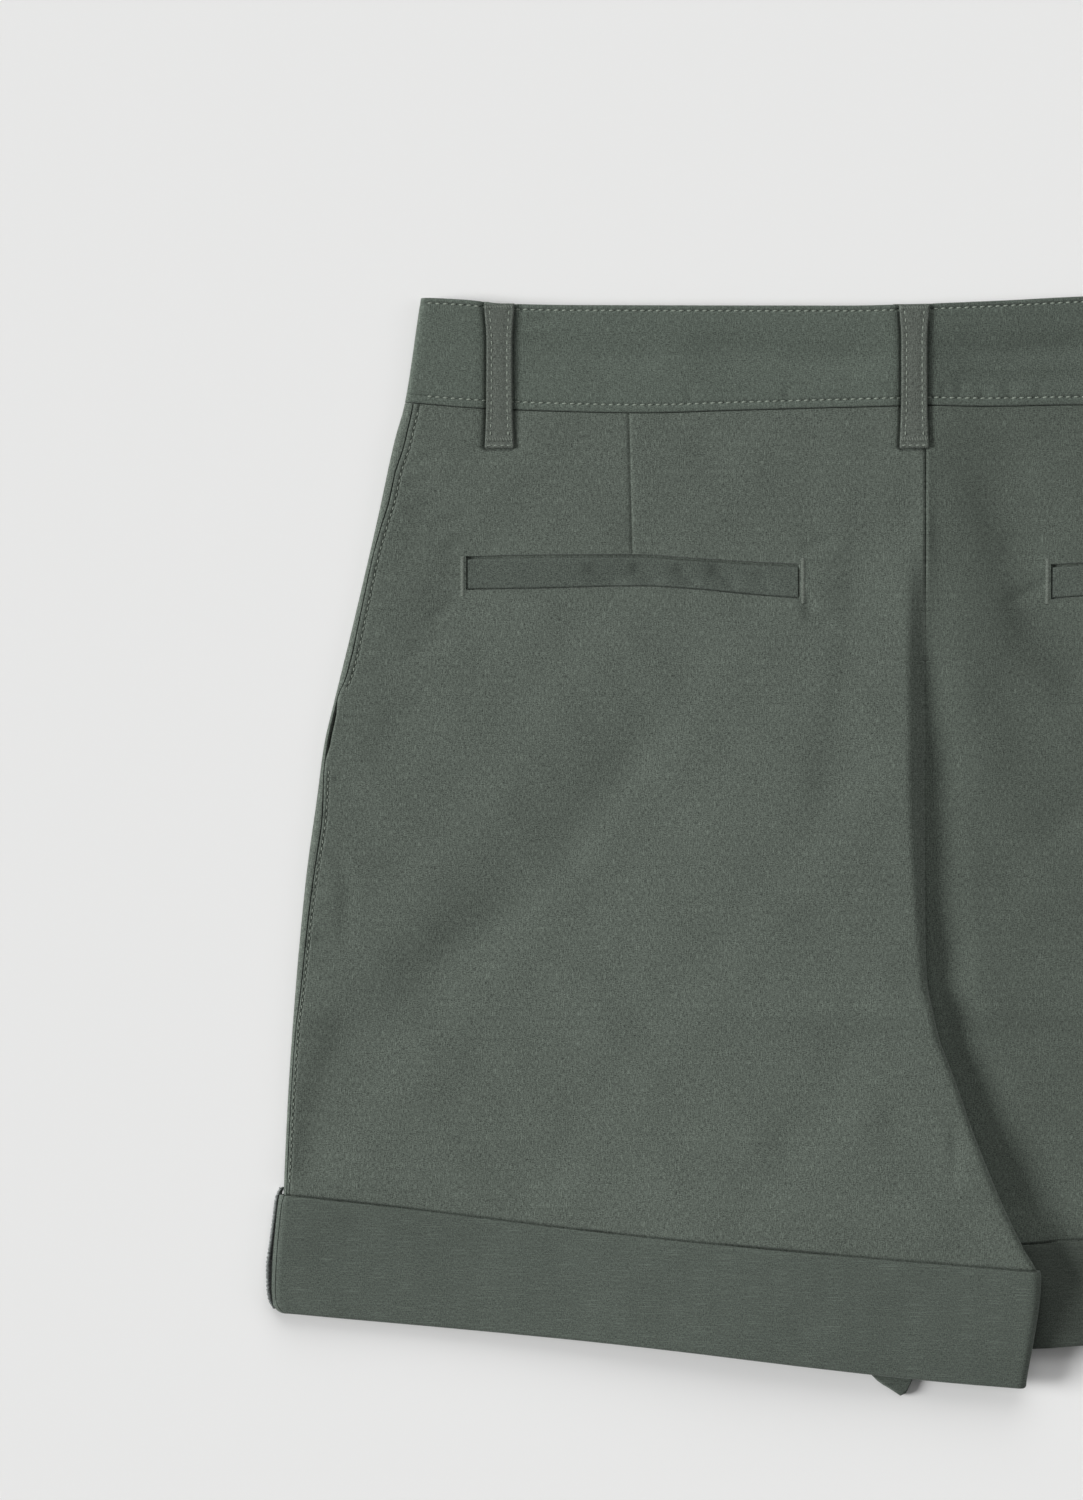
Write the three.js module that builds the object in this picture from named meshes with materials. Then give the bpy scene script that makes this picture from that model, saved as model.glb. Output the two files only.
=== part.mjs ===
import * as THREE from 'three';

// Chino shorts laid flat with the back up and the front on the surface below. Millimetres.
// "down" is the distance below the waist, "out" the distance from the centre line towards a side, and a height
// is measured from the surface that the shorts lie on.

const clothWall = 1.2;
const bandWall = 1.8;
const backLoopWall = 1.2;
const frontLoopWall = 1.0;
const weltWall = 1.0;
const allowanceWall = 1.0;
const seamGap = 0.3;
const halfGap = seamGap / 2;

const sideFoldReach = 2.6;
const legFoldReach = 2.2;
const bandFoldReach = 2.5;
const bandProud = 0.4;
const bandSeamDown = 37;

const crotchDown = 264;
const legsPartDown = 275;
const closeLength = 7;          // over which front and back come together above the crotch
const leftValleyWidth = 4.5;
const rightValleyWidth = 10;
const coveredMargin = 2.5;      // by which the lower leg stays low past the edge of the upper one

const cuffLift = clothWall + seamGap;
const cuffFoldRadius = (2 * clothWall + seamGap) / 2;
const cuffLipLength = 3.0;
const cuffRiseStart = 15;       // above the cuff's top edge
const cuffRiseEnd = 2;

const frontLoopLift = frontLoopWall + seamGap;
const loopEndDown = 53.6;
const loopRoom = 3;             // below the loops, where the front is still raised
const waistLiftEndDown = 92;
const overLegMargin = 6;        // past the edge of the lower leg, where the upper one is still raised
const overLegSlope = 30;
const bridgeSpread = 5;         // extra room that the back takes to come down again

const buttonHeight = 2.3;
const buttonRadius = 7.5;
const buttonSegments = 28;
const buttonDown = 19;
const buttonMargin = 1.5;
const buttonLiftRadius = 28;
const tabEndOut = 12;

const slitTopDown = 147;
const slitEndDown = 172;
const slitTaper = 8;
const slitWidth = 1.1;

// Half widths to the side folds.
const sideOutline = [
  { down: -6, out: 189.0 },
  { down: 0, out: 190.0 },
  { down: 37, out: 195.7 },
  { down: 50, out: 199.3 },
  { down: 80, out: 205.9 },
  { down: 125, out: 216.4 },
  { down: 147, out: 221.8 },
  { down: 165, out: 226.0 },
  { down: 185, out: 228.7 },
  { down: 215, out: 232.8 },
  { down: 260, out: 237.0 },
  { down: 305, out: 240.0 },
  { down: 334, out: 241.1 },
  { down: 400, out: 242.6 },
];

// How far in from the side fold the side seam lies on the back.
const sideSeam = [
  { down: 37, inset: 3.2 },
  { down: 52, inset: 4.1 },
  { down: 64, inset: 2.4 },
  { down: 81, inset: 1.4 },
  { down: 131, inset: 4.2 },
  { down: 147, inset: 1.0 },
  { down: 172, inset: 1.3 },
  { down: 198, inset: 3.2 },
  { down: 225, inset: 2.6 },
  { down: 255, inset: 2.1 },
  { down: 275, inset: 1.3 },
  { down: 400, inset: 1.1 },
];

// Each half of the shorts: edges that run across it, and heights along it. "past" is how far the inner leg
// reaches past the centre line, "loft" the thickness through front and back, "centreSeam" the height of the
// back there or under the other leg, and "lift" the height to which the leg below raises this one.
const leftRows = {
  waist: [
    { out: 0, down: -0.7 },
    { out: 30, down: 0 },
    { out: 130, down: -0.2 },
    { out: 158, down: -0.8 },
    { out: 173, down: -2.3 },
    { out: 186, down: -3.0 },
  ],
  bandSeam: [
    { out: 0, down: 37.5 },
    { out: 26, down: 38.2 },
    { out: 67, down: 39.3 },
    { out: 107, down: 40.4 },
    { out: 131, down: 40.0 },
    { out: 167, down: 38.6 },
    { out: 195, down: 36.4 },
  ],
  cuffTop: [
    { out: -43, down: 362.3 },
    { out: 47, down: 354.8 },
    { out: 122, down: 347.8 },
    { out: 197, down: 338.9 },
    { out: 241, down: 334.0 },
  ],
  hem: [
    { out: -38, down: 406.4 },
    { out: 0, down: 403.0 },
    { out: 45, down: 397.9 },
    { out: 82, down: 393.4 },
    { out: 120, down: 389.3 },
    { out: 195, down: 382.5 },
    { out: 240, down: 378.6 },
  ],
  innerLeg: [
    { down: 264, past: 0 },
    { down: 274, past: 0 },
    { down: 283, past: 5.0 },
    { down: 309, past: 16.5 },
    { down: 336, past: 27.8 },
    { down: 353, past: 36.0 },
    { down: 364, past: 41.4 },
    { down: 404, past: 36.2 },
  ],
  loft: [
    { down: 37, centre: 5.4, middle: 5.6, side: 4.6 },
    { down: 100, centre: 5.8, middle: 5.9, side: 5.0 },
    { down: 190, centre: 6.2, middle: 6.0, side: 5.1 },
    { down: 264, centre: 6.2, middle: 6.1, side: 5.1 },
    { down: 280, centre: 4.6, middle: 6.0, side: 5.1 },
    { down: 320, centre: 4.4, middle: 5.6, side: 5.0 },
    { down: 345, centre: 3.5, middle: 5.0, side: 4.8 },
    { down: 360, centre: 3.2, middle: 4.9, side: 4.2 },
    { down: 405, centre: 3.2, middle: 4.7, side: 4.1 },
  ],
  centreSeam: [
    { down: 37, height: 6.7 },
    { down: 60, height: 6.2 },
    { down: 110, height: 5.0 },
    { down: 180, height: 3.8 },
    { down: 264, height: 4.4 },
  ],
  lift: [
    { down: 238, height: 0 },
    { down: 264, height: 1.2 },
    { down: 275, height: 4.4 },
    { down: 310, height: 4.6 },
    { down: 343, height: 6.7 },
    { down: 410, height: 6.7 },
  ],
  softFolds: [
    { fromOut: 98, fromDown: 135, toOut: 222, toDown: 275, depth: 1.3, width: 13 },
    { fromOut: 62, fromDown: 330, toOut: 18, toDown: 250, depth: 0.6, width: 12 },
    { fromOut: 205, fromDown: 120, toOut: 188, toDown: 62, depth: 0.5, width: 9 },
  ],
  frontReaches: [0, 0.35, 1.1, 2.2, 8, 24, 46, 64, 72, 82, 94],
};

const rightRows = {
  waist: [
    { out: 0, down: -0.7 },
    { out: 29, down: -1.9 },
    { out: 59, down: -3.4 },
    { out: 110, down: -4.8 },
    { out: 189, down: -5.5 },
  ],
  bandSeam: [
    { out: 0, down: 37.5 },
    { out: 23, down: 37.9 },
    { out: 58, down: 37.4 },
    { out: 107, down: 37.6 },
    { out: 150, down: 36.6 },
    { out: 195, down: 34.6 },
  ],
  cuffTop: [
    { out: -25, down: 356.5 },
    { out: 39, down: 352.9 },
    { out: 59, down: 351.4 },
    { out: 122, down: 346.0 },
    { out: 197, down: 338.3 },
    { out: 241, down: 334.0 },
  ],
  hem: [
    { out: -25, down: 395.8 },
    { out: 41, down: 391.9 },
    { out: 59, down: 390.7 },
    { out: 120, down: 387.0 },
    { out: 195, down: 382.0 },
    { out: 240, down: 378.6 },
  ],
  innerLeg: [
    { down: 264, past: 0 },
    { down: 276, past: 0 },
    { down: 309, past: 9 },
    { down: 336, past: 15 },
    { down: 361, past: 19 },
    { down: 400, past: 20 },
  ],
  loft: [
    { down: 37, centre: 5.4, middle: 5.7, side: 4.6 },
    { down: 100, centre: 5.8, middle: 6.0, side: 5.0 },
    { down: 190, centre: 6.1, middle: 6.0, side: 5.1 },
    { down: 264, centre: 6.0, middle: 6.1, side: 5.1 },
    { down: 320, centre: 5.8, middle: 6.0, side: 5.0 },
    { down: 360, centre: 5.0, middle: 5.0, side: 4.2 },
    { down: 405, centre: 4.8, middle: 4.7, side: 4.1 },
  ],
  centreSeam: [
    { down: 37, height: 6.7 },
    { down: 60, height: 6.2 },
    { down: 110, height: 5.0 },
    { down: 180, height: 3.8 },
    { down: 264, height: 4.4 },
    { down: 275, height: 3.6 },
    { down: 335, height: 3.6 },
    { down: 351, height: 4.6 },
    { down: 405, height: 4.6 },
  ],
  lift: [
    { down: 238, height: 0 },
    { down: 264, height: 1.2 },
    { down: 275, height: 0 },
    { down: 410, height: 0 },
  ],
  softFolds: [
    { fromOut: 30, fromDown: 108, toOut: 74, toDown: 142, depth: 1.1, width: 9 },
    { fromOut: 112, fromDown: 168, toOut: 214, toDown: 262, depth: 1.1, width: 14 },
    { fromOut: 204, fromDown: 112, toOut: 190, toDown: 60, depth: 0.5, width: 9 },
  ],
  frontReaches: [0, 0.35, 1.1, 2.2, 6, 12, 20, 34, 50],
};

// A back pocket welt, from the side end to the centre end.
const weltRows = [
  { out: 172.0, top: 94.9, bottom: 106.3 },
  { out: 147.0, top: 94.4, bottom: 106.0 },
  { out: 107.0, top: 94.3, bottom: 105.2 },
  { out: 89.0, top: 95.5, bottom: 106.1 },
  { out: 62.0, top: 97.2, bottom: 108.6 },
  { out: 48.0, top: 97.9, bottom: 109.7 },
];

// Width of a back belt loop along its length.
const loopRows = [
  { down: 0, width: 11.4 },
  { down: 14, width: 9.6 },
  { down: 38, width: 9.8 },
  { down: 54, width: 11.0 },
];

const backLoops = [
  { name: 'belt_loop_back_left', out: 160.0 },
  { name: 'belt_loop_back_centre', out: 4.3 },
  { name: 'belt_loop_back_right', out: -158.5 },
];
const frontLoopOut = 95;
const frontLoopWidth = 10.5;

// Outer edge of the serged seam allowance at the side of a cuff.
const allowanceRows = [
  { down: 331.5, out: 242.9 },
  { down: 335.0, out: 244.4 },
  { down: 342.0, out: 245.3 },
  { down: 351.0, out: 246.5 },
  { down: 362.0, out: 247.8 },
  { down: 369.0, out: 247.6 },
  { down: 374.0, out: 246.8 },
  { down: 377.0, out: 245.4 },
];

// The inner corner of the right leg's front cuff, which is pulled down into a loose point.
const looseCorner = { out: -8.2, drop: 15.4, innerReach: 14.5, outerReach: 9.5, startShare: 0.4 };

// Spacing of the sections. Levels are distances down the centre line.
const levels = [46, 60, 78, 98, 122, 148, 172, 198, 222, 242, 256, 264, 269.5, 275, 283, 296, 312, 328, 343];
const cuffShares = [0, 0.3, 0.65, 1];
const cuffFoldTurns = [45, 90, 135, 180];
const innerReaches = [0, 0.35, 1.1, 2.2, 4.5, 8, 13, 20, 30];
const middleShares = [1 / 7, 2 / 7, 3 / 7, 4 / 7, 5 / 7, 6 / 7];
const outerReaches = [10, 5, 2.4, 0.9, 0];
const frontMiddleShares = [1 / 4, 2 / 4, 3 / 4];
const foldTurns = [-90, -60, -30, 0, 25];
const lipShares = [0.45, 1];
const besideFold = 6;

const clamp = THREE.MathUtils.clamp;
const lerp = THREE.MathUtils.lerp;
const ramp = THREE.MathUtils.smoothstep;

// A smooth function through a table's rows, which never swings past them, level beyond both ends.
function curve(rows, key, column) {
  const ordered = [...rows].sort((a, b) => a[key] - b[key]);
  const at = ordered.map((row) => row[key]);
  const value = ordered.map((row) => row[column]);
  const last = at.length - 1;
  const rise = at.slice(1).map((end, i) => (value[i + 1] - value[i]) / (end - at[i]));
  const slope = at.map((_, i) => {
    if (i === 0 || i === last) {
      return rise[Math.min(i, last - 1)];
    }
    const product = rise[i - 1] * rise[i];
    return product <= 0 ? 0 : (2 * product) / (rise[i - 1] + rise[i]);
  });
  return (place) => {
    const x = clamp(place, at[0], at[last]);
    const i = clamp(at.findIndex((end) => end >= x) - 1, 0, last - 1);
    const span = at[i + 1] - at[i];
    const t = (x - at[i]) / span;
    const ease = t * t * (3 - 2 * t);
    const leave = span * slope[i] * t * (1 - t) * (1 - t);
    const arrive = span * slope[i + 1] * t * t * (t - 1);
    return lerp(value[i], value[i + 1], ease) + leave + arrive;
  };
}

const sideAt = curve(sideOutline, 'down', 'out');
const seamInsetAt = curve(sideSeam, 'down', 'inset');

function makeHalf(side, rows) {
  return {
    side,
    waist: curve(rows.waist, 'out', 'down'),
    bandSeam: curve(rows.bandSeam, 'out', 'down'),
    cuffTop: curve(rows.cuffTop, 'out', 'down'),
    hem: curve(rows.hem, 'out', 'down'),
    pastCentre: curve(rows.innerLeg, 'down', 'past'),
    loftCentre: curve(rows.loft, 'down', 'centre'),
    loftMiddle: curve(rows.loft, 'down', 'middle'),
    loftSide: curve(rows.loft, 'down', 'side'),
    centreSeam: curve(rows.centreSeam, 'down', 'height'),
    lift: curve(rows.lift, 'down', 'height'),
    softFolds: rows.softFolds,
    frontReaches: rows.frontReaches,
  };
}

const left = makeHalf(-1, leftRows);
const right = makeHalf(1, rightRows);

const innerEdge = (half, down) => halfGap - half.pastCentre(down);
const legClosed = (down) => ramp(down, crotchDown - closeLength, crotchDown);

// Depth of the soft troughs pressed into the back of a half.
function softFoldDepth(half, out, down) {
  return half.softFolds.reduce((sum, fold) => {
    const alongOut = fold.toOut - fold.fromOut;
    const alongDown = fold.toDown - fold.fromDown;
    const length = Math.hypot(alongOut, alongDown);
    const along = ((out - fold.fromOut) * alongOut + (down - fold.fromDown) * alongDown) / (length * length);
    const off = ((out - fold.fromOut) * alongDown - (down - fold.fromDown) * alongOut) / length;
    const fade = ramp(along, -0.1, 0.25) * (1 - ramp(along, 0.7, 1.1));
    return sum + fold.depth * fade * Math.exp(-((off / fold.width) ** 2));
  }, 0);
}

// How much of the sink to the centre seam, or to the leg that lies on top, is left at a point.
function valleyShare(half, out, down) {
  if (half === left) {
    return Math.exp(-((out / leftValleyWidth) ** 2)) * (1 - ramp(down, crotchDown, legsPartDown));
  }
  const covered = left.pastCentre(down) + coveredMargin * ramp(down, crotchDown, legsPartDown);
  const beyond = Math.max(0, out - covered);
  return Math.exp(-((beyond / rightValleyWidth) ** 2));
}

// How far what lies underneath raises the cloth: the front loops, the cuff's own turn-up and the other leg.
// Where the cloth comes down again it takes "spread" more room.
function raisedBy(half, out, down, spread) {
  const waistLift = frontLoopLift * (1 - ramp(down, loopEndDown + loopRoom, waistLiftEndDown + spread));
  const cuffTop = half.cuffTop(out);
  const cuffRise = cuffLift * ramp(down, cuffTop - cuffRiseStart - spread, cuffTop - cuffRiseEnd);
  const legEnd = right.pastCentre(down) + overLegMargin;
  const overLeg = half.lift(down) * (1 - ramp(out, legEnd, legEnd + overLegSlope + spread));
  return waistLift + cuffRise + overLeg;
}

// Height of the back's upper face, before the folds at its edges.
function openTop(half, out, down) {
  const share = clamp(out / sideAt(down), 0, 1);
  const inner = lerp(half.loftCentre(down), half.loftMiddle(down), ramp(share, 0, 0.5));
  const loft = lerp(inner, half.loftSide(down), ramp(share, 0.5, 1));
  const crown = loft + raisedBy(half, out, down, bridgeSpread);
  const sunk = lerp(crown, half.centreSeam(down), valleyShare(half, out, down));
  const clearOfEdges = ramp(out, 4, 24) * ramp(sideAt(down) - out, 4, 22);
  return sunk - softFoldDepth(half, out, down) * clearOfEdges;
}

// Height of the front's lower face, before the folds at its edges.
function openUnder(half, out, down) {
  const fromButton = Math.hypot(out, down - buttonDown);
  const overButton = 1 - ramp(fromButton, buttonRadius + buttonMargin, buttonLiftRadius);
  return (buttonHeight + seamGap - frontLoopLift) * overButton + raisedBy(half, out, down, 0);
}

// Share of the full half thickness at a distance in from a rounded fold.
const foldShare = (reach, distance) => Math.sqrt(1 - (1 - clamp(distance / reach, 0, 1)) ** 2);

function foldMiddle(half, edgeOut, down) {
  return (openTop(half, edgeOut, down) + openUnder(half, edgeOut, down)) / 2;
}

// Height of the back's upper face, rounded down at the side fold and at the inner leg.
function topFace(half, out, down) {
  const open = openTop(half, out, down);
  const side = sideAt(down);
  const sideMiddle = foldMiddle(half, side - sideFoldReach, down);
  const bySide = lerp(sideMiddle, open, foldShare(sideFoldReach, side - out));
  const inner = innerEdge(half, down);
  const innerMiddle = foldMiddle(half, inner + legFoldReach, down) + halfGap;
  const byInner = lerp(innerMiddle, bySide, foldShare(legFoldReach, out - inner));
  return lerp(bySide, byInner, legClosed(down));
}

// Height of the front's lower face, rounded up at the inner leg.
function underFace(half, out, down) {
  const open = openUnder(half, out, down);
  const inner = innerEdge(half, down);
  const innerMiddle = foldMiddle(half, inner + legFoldReach, down) - halfGap;
  const byInner = lerp(innerMiddle, open, foldShare(legFoldReach, out - inner));
  return lerp(open, byInner, legClosed(down));
}

// Distance down of a section, which follows the waistband's seam at the top and the cuff at the bottom.
function sectionDown(half, section, out) {
  if (section.cuffShare !== undefined) {
    return lerp(half.cuffTop(out), half.hem(out) - cuffLipLength - seamGap, section.cuffShare);
  }
  if (section.fromHem !== undefined) {
    return half.hem(out) - section.fromHem;
  }
  const top = half.bandSeam(0) + halfGap;
  const share = (section.level - top) / (half.cuffTop(0) - top);
  return lerp(half.bandSeam(out) + halfGap, half.cuffTop(out), share);
}

function sections() {
  const top = left.bandSeam(0) + halfGap;
  return [
    ...[top, ...levels].map((level) => ({ level })),
    ...cuffShares.map((cuffShare) => ({ cuffShare })),
    { fromHem: cuffFoldRadius },
  ];
}

// A point where the place depends on how far down it is, and the other way round.
function settle(half, section, placeAt) {
  const first = placeAt(sectionDown(half, section, placeAt(crotchDown)));
  const second = placeAt(sectionDown(half, section, first));
  const down = sectionDown(half, section, second);
  return { out: placeAt(down), down };
}

// The mouth of the side pocket stands open a little at its lower end.
function slitGap(down) {
  const opening = ramp(down, slitTopDown, slitTopDown + slitTaper);
  return slitWidth * opening * ramp(slitEndDown - down, 0, slitTaper);
}

function backColumns(half) {
  const seam = (down) => sideAt(down) - seamInsetAt(down) - halfGap - slitGap(down);
  const inner = (down) => innerEdge(half, down);
  const firstMiddle = (down) => inner(down) + innerReaches.at(-1);
  const lastMiddle = (down) => seam(down) - outerReaches[0];
  return [
    ...innerReaches.map((reach) => (down) => inner(down) + reach),
    ...middleShares.map((share) => (down) => lerp(firstMiddle(down), lastMiddle(down), share)),
    ...outerReaches.map((reach) => (down) => seam(down) - reach),
  ];
}

function backGrid(half) {
  const columns = backColumns(half);
  return sections().map((section) => columns.map((placeAt) => {
    const { out, down } = settle(half, section, placeAt);
    return new THREE.Vector3(out, down, topFace(half, out, down));
  }));
}

// The front runs from the centre across the surface below, round the side fold and on to the back.
function frontGrid(half) {
  const inner = (down) => innerEdge(half, down);
  const foldStart = (down) => sideAt(down) - sideFoldReach;
  const flatEnd = (down) => foldStart(down) - besideFold;
  const firstMiddle = (down) => inner(down) + half.frontReaches.at(-1);
  const flatColumns = [
    ...half.frontReaches.map((reach) => (down) => inner(down) + reach),
    ...frontMiddleShares.map((share) => (down) => lerp(firstMiddle(down), flatEnd(down), share)),
    flatEnd,
  ];
  return sections().map((section) => {
    const flat = flatColumns.map((placeAt) => {
      const { out, down } = settle(half, section, placeAt);
      return new THREE.Vector3(out, down, underFace(half, out, down));
    });
    const { down } = settle(half, section, sideAt);
    const side = sideAt(down);
    const middle = foldMiddle(half, foldStart(down), down);
    const low = middle - openUnder(half, foldStart(down), down);
    const high = openTop(half, foldStart(down), down) - middle;
    const round = foldTurns.map((degrees) => {
      const turn = THREE.MathUtils.degToRad(degrees);
      const inset = sideFoldReach * (1 - Math.cos(turn));
      return new THREE.Vector3(side - inset, down, middle + (turn < 0 ? low : high) * Math.sin(turn));
    });
    const firstInset = sideFoldReach * (1 - Math.cos(THREE.MathUtils.degToRad(foldTurns.at(-1))));
    const lip = lipShares.map((share) => {
      const out = side - lerp(firstInset, seamInsetAt(down) - halfGap, share);
      return new THREE.Vector3(out, down, topFace(half, out, down));
    });
    return [...flat, ...round, ...lip];
  });
}

// Unit normals of a grid, pointing to the side that "facing" gives, with a rule of its own at a row's ends.
function gridNormals(grid, facing, startNormal, endNormal) {
  return grid.map((row, i) => row.map((point, j) => {
    if (j === 0 && startNormal) {
      return startNormal(point);
    }
    if (j === row.length - 1 && endNormal) {
      return endNormal(point);
    }
    const alongRow = row[Math.min(j + 1, row.length - 1)].clone().sub(row[Math.max(j - 1, 0)]);
    const before = grid[Math.max(i - 1, 0)][j];
    const after = grid[Math.min(i + 1, grid.length - 1)][j];
    const alongColumn = after.clone().sub(before);
    return alongRow.cross(alongColumn).multiplyScalar(facing).normalize();
  }));
}

function movedOut(grid, normals, distance) {
  return grid.map((row, i) => row.map((point, j) => point.clone().addScaledVector(normals[i][j], distance)));
}

function signedVolume(points, triangles) {
  return triangles.reduce((sum, [a, b, c]) => {
    const cross = points[b].clone().cross(points[c]);
    return sum + points[a].dot(cross) / 6;
  }, 0);
}

// A closed body between two grids of the same size, in "out", "down" and height, placed on its side.
function bodyBetween(outerGrid, innerGrid, side) {
  const rowCount = outerGrid.length;
  const columnCount = outerGrid[0].length;
  const sheet = rowCount * columnCount;
  const index = (i, j, layer) => layer * sheet + i * columnCount + j;
  const points = [...outerGrid.flat(), ...innerGrid.flat()].map(
    (point) => new THREE.Vector3(side * point.x, -point.y, point.z),
  );
  const triangles = [];
  const addQuad = (a, b, c, d) => triangles.push([a, b, c], [a, c, d]);
  for (let i = 0; i < rowCount - 1; i += 1) {
    for (let j = 0; j < columnCount - 1; j += 1) {
      addQuad(index(i, j, 0), index(i, j + 1, 0), index(i + 1, j + 1, 0), index(i + 1, j, 0));
      addQuad(index(i, j, 1), index(i + 1, j, 1), index(i + 1, j + 1, 1), index(i, j + 1, 1));
    }
  }
  const rim = [];
  for (let j = 0; j < columnCount - 1; j += 1) rim.push([0, j]);
  for (let i = 0; i < rowCount - 1; i += 1) rim.push([i, columnCount - 1]);
  for (let j = columnCount - 1; j > 0; j -= 1) rim.push([rowCount - 1, j]);
  for (let i = rowCount - 1; i > 0; i -= 1) rim.push([i, 0]);
  rim.forEach(([i, j], k) => {
    const [nextI, nextJ] = rim[(k + 1) % rim.length];
    addQuad(index(i, j, 0), index(i, j, 1), index(nextI, nextJ, 1), index(nextI, nextJ, 0));
  });
  if (signedVolume(points, triangles) < 0) {
    triangles.forEach((triangle) => triangle.reverse());
  }
  const geometry = new THREE.BufferGeometry();
  geometry.setAttribute('position', new THREE.Float32BufferAttribute(points.flatMap((p) => p.toArray()), 3));
  geometry.setIndex(triangles.flat());
  geometry.computeVertexNormals();
  return geometry;
}

function wallGeometry(outerGrid, thickness, facing, side, startNormal) {
  const normals = gridNormals(outerGrid, facing, startNormal);
  return bodyBetween(outerGrid, movedOut(outerGrid, normals, -thickness), side);
}

const cloth = new THREE.MeshStandardMaterial({ color: 0x5a615a, roughness: 0.92, metalness: 0 });
const bandCloth = new THREE.MeshStandardMaterial({ color: 0x555d55, roughness: 0.92, metalness: 0 });
const cuffCloth = new THREE.MeshStandardMaterial({ color: 0x525953, roughness: 0.94, metalness: 0 });
const sergedEdge = new THREE.MeshStandardMaterial({ color: 0x5e6b60, roughness: 0.95, metalness: 0 });
const buttonResin = new THREE.MeshStandardMaterial({ color: 0x474b44, roughness: 0.45, metalness: 0 });

const shorts = new THREE.Group();

function addPiece(name, geometry, material) {
  const piece = new THREE.Mesh(geometry, material);
  piece.name = name;
  shorts.add(piece);
}

// At the centre seam the cloth lies level, and at the inner leg its edge stands upright.
function innerNormal(facing) {
  return (point) => {
    const closed = legClosed(point.y);
    return new THREE.Vector3(-closed, 0, facing * (1 - closed)).normalize();
  };
}

// Drop of the loose corner below the hem at a place along the right leg's front cuff.
function cornerDrop(out) {
  const reach = out < looseCorner.out ? looseCorner.innerReach : looseCorner.outerReach;
  return looseCorner.drop * Math.max(0, 1 - Math.abs(out - looseCorner.out) / reach);
}

// The side seam's two edges stand square to the cloth that curves over the fold there.
function sideNormal(half) {
  return (point) => {
    const out = sideAt(point.y) - seamInsetAt(point.y);
    const step = 0.1;
    const rise = topFace(half, out + step, point.y) - topFace(half, out - step, point.y);
    return new THREE.Vector3(-rise, 0, 2 * step).normalize();
  };
}

// One face of the turn-up, which runs down outside the panel, folds at the hem and ends inside, below the
// panel's edge. The face lies at the given radius from the middle of the fold.
function cuffFace(panelGrid, normals, radius, hasLooseCorner) {
  const outside = panelGrid.slice(-cuffShares.length - 1);
  const outsideNormals = normals.slice(-cuffShares.length - 1);
  const rows = movedOut(outside, outsideNormals, halfGap + radius);
  const lastNormals = outsideNormals.at(-1);
  const lastRow = outside.at(-1);
  const centres = lastRow.map((point, j) => point.clone().addScaledVector(lastNormals[j], halfGap));
  const onward = (j) => {
    const run = lastRow[j].clone().sub(outside.at(-2)[j]);
    return run.addScaledVector(lastNormals[j], -run.dot(lastNormals[j])).normalize();
  };
  cuffFoldTurns.forEach((degrees) => {
    const turn = THREE.MathUtils.degToRad(degrees);
    rows.push(centres.map((centre, j) => centre.clone()
      .addScaledVector(lastNormals[j], radius * Math.cos(turn))
      .addScaledVector(onward(j), radius * Math.sin(turn))));
  });
  rows.push(centres.map((centre, j) => centre.clone()
    .addScaledVector(lastNormals[j], -radius)
    .addScaledVector(onward(j), cuffFoldRadius - cuffLipLength)));
  if (hasLooseCorner) {
    const lowRows = rows.slice(cuffShares.length - 2);
    lowRows.forEach((row, i) => row.forEach((point) => {
      point.y += cornerDrop(point.x) * (i === 0 ? looseCorner.startShare : 1);
    }));
  }
  return rows;
}

function addLeg(half, name) {
  const back = backGrid(half);
  const front = frontGrid(half);
  const backNormals = gridNormals(back, 1, innerNormal(1), sideNormal(half));
  const frontNormals = gridNormals(front, -1, innerNormal(-1), sideNormal(half));
  const backInside = movedOut(back, backNormals, -clothWall);
  const frontInside = movedOut(front, frontNormals, -clothWall);
  const upToLip = (grid) => grid.slice(0, -1);
  addPiece(`back_panel_${name}`, bodyBetween(upToLip(back), upToLip(backInside), half.side), cloth);
  addPiece(`front_panel_${name}`, bodyBetween(upToLip(front), upToLip(frontInside), half.side), cloth);

  const cuffs = [
    { piece: 'back', grid: back, normals: backNormals, hasLooseCorner: false },
    { piece: 'front', grid: front, normals: frontNormals, hasLooseCorner: half === right },
  ];
  cuffs.forEach(({ piece, grid, normals, hasLooseCorner }) => {
    const outside = cuffFace(grid, normals, cuffFoldRadius, hasLooseCorner);
    const inside = cuffFace(grid, normals, cuffFoldRadius - clothWall, hasLooseCorner);
    addPiece(`cuff_${piece}_${name}`, bodyBetween(outside, inside, half.side), cuffCloth);
  });
}

// The serged allowance of a cuff's side seam stands clear of the cuff and curves with its side.
function addAllowance(half, name) {
  const middle = 3.6;
  const halfHeight = 2.5;
  const curl = 1.2;
  const grid = allowanceRows.map(({ down, out }) => [-60, -20, 20, 60].map((degrees) => {
    const turn = THREE.MathUtils.degToRad(degrees);
    return new THREE.Vector3(out - curl * (1 - Math.cos(turn)), down, middle + halfHeight * Math.sin(turn));
  }));
  addPiece(`cuff_seam_${name}`, wallGeometry(grid, allowanceWall, -1, half.side), sergedEdge);
}

const halfAt = (out) => (out >= 0 ? left : right);

// The waistband keeps the height that it has at its lower seam, a little proud of the panels.
const openBandTop = (half, out) => openTop(half, out, bandSeamDown) + bandProud;

function bandFoldMiddle(half, side) {
  return (openBandTop(half, side - bandFoldReach) + frontLoopLift) / 2;
}

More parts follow.
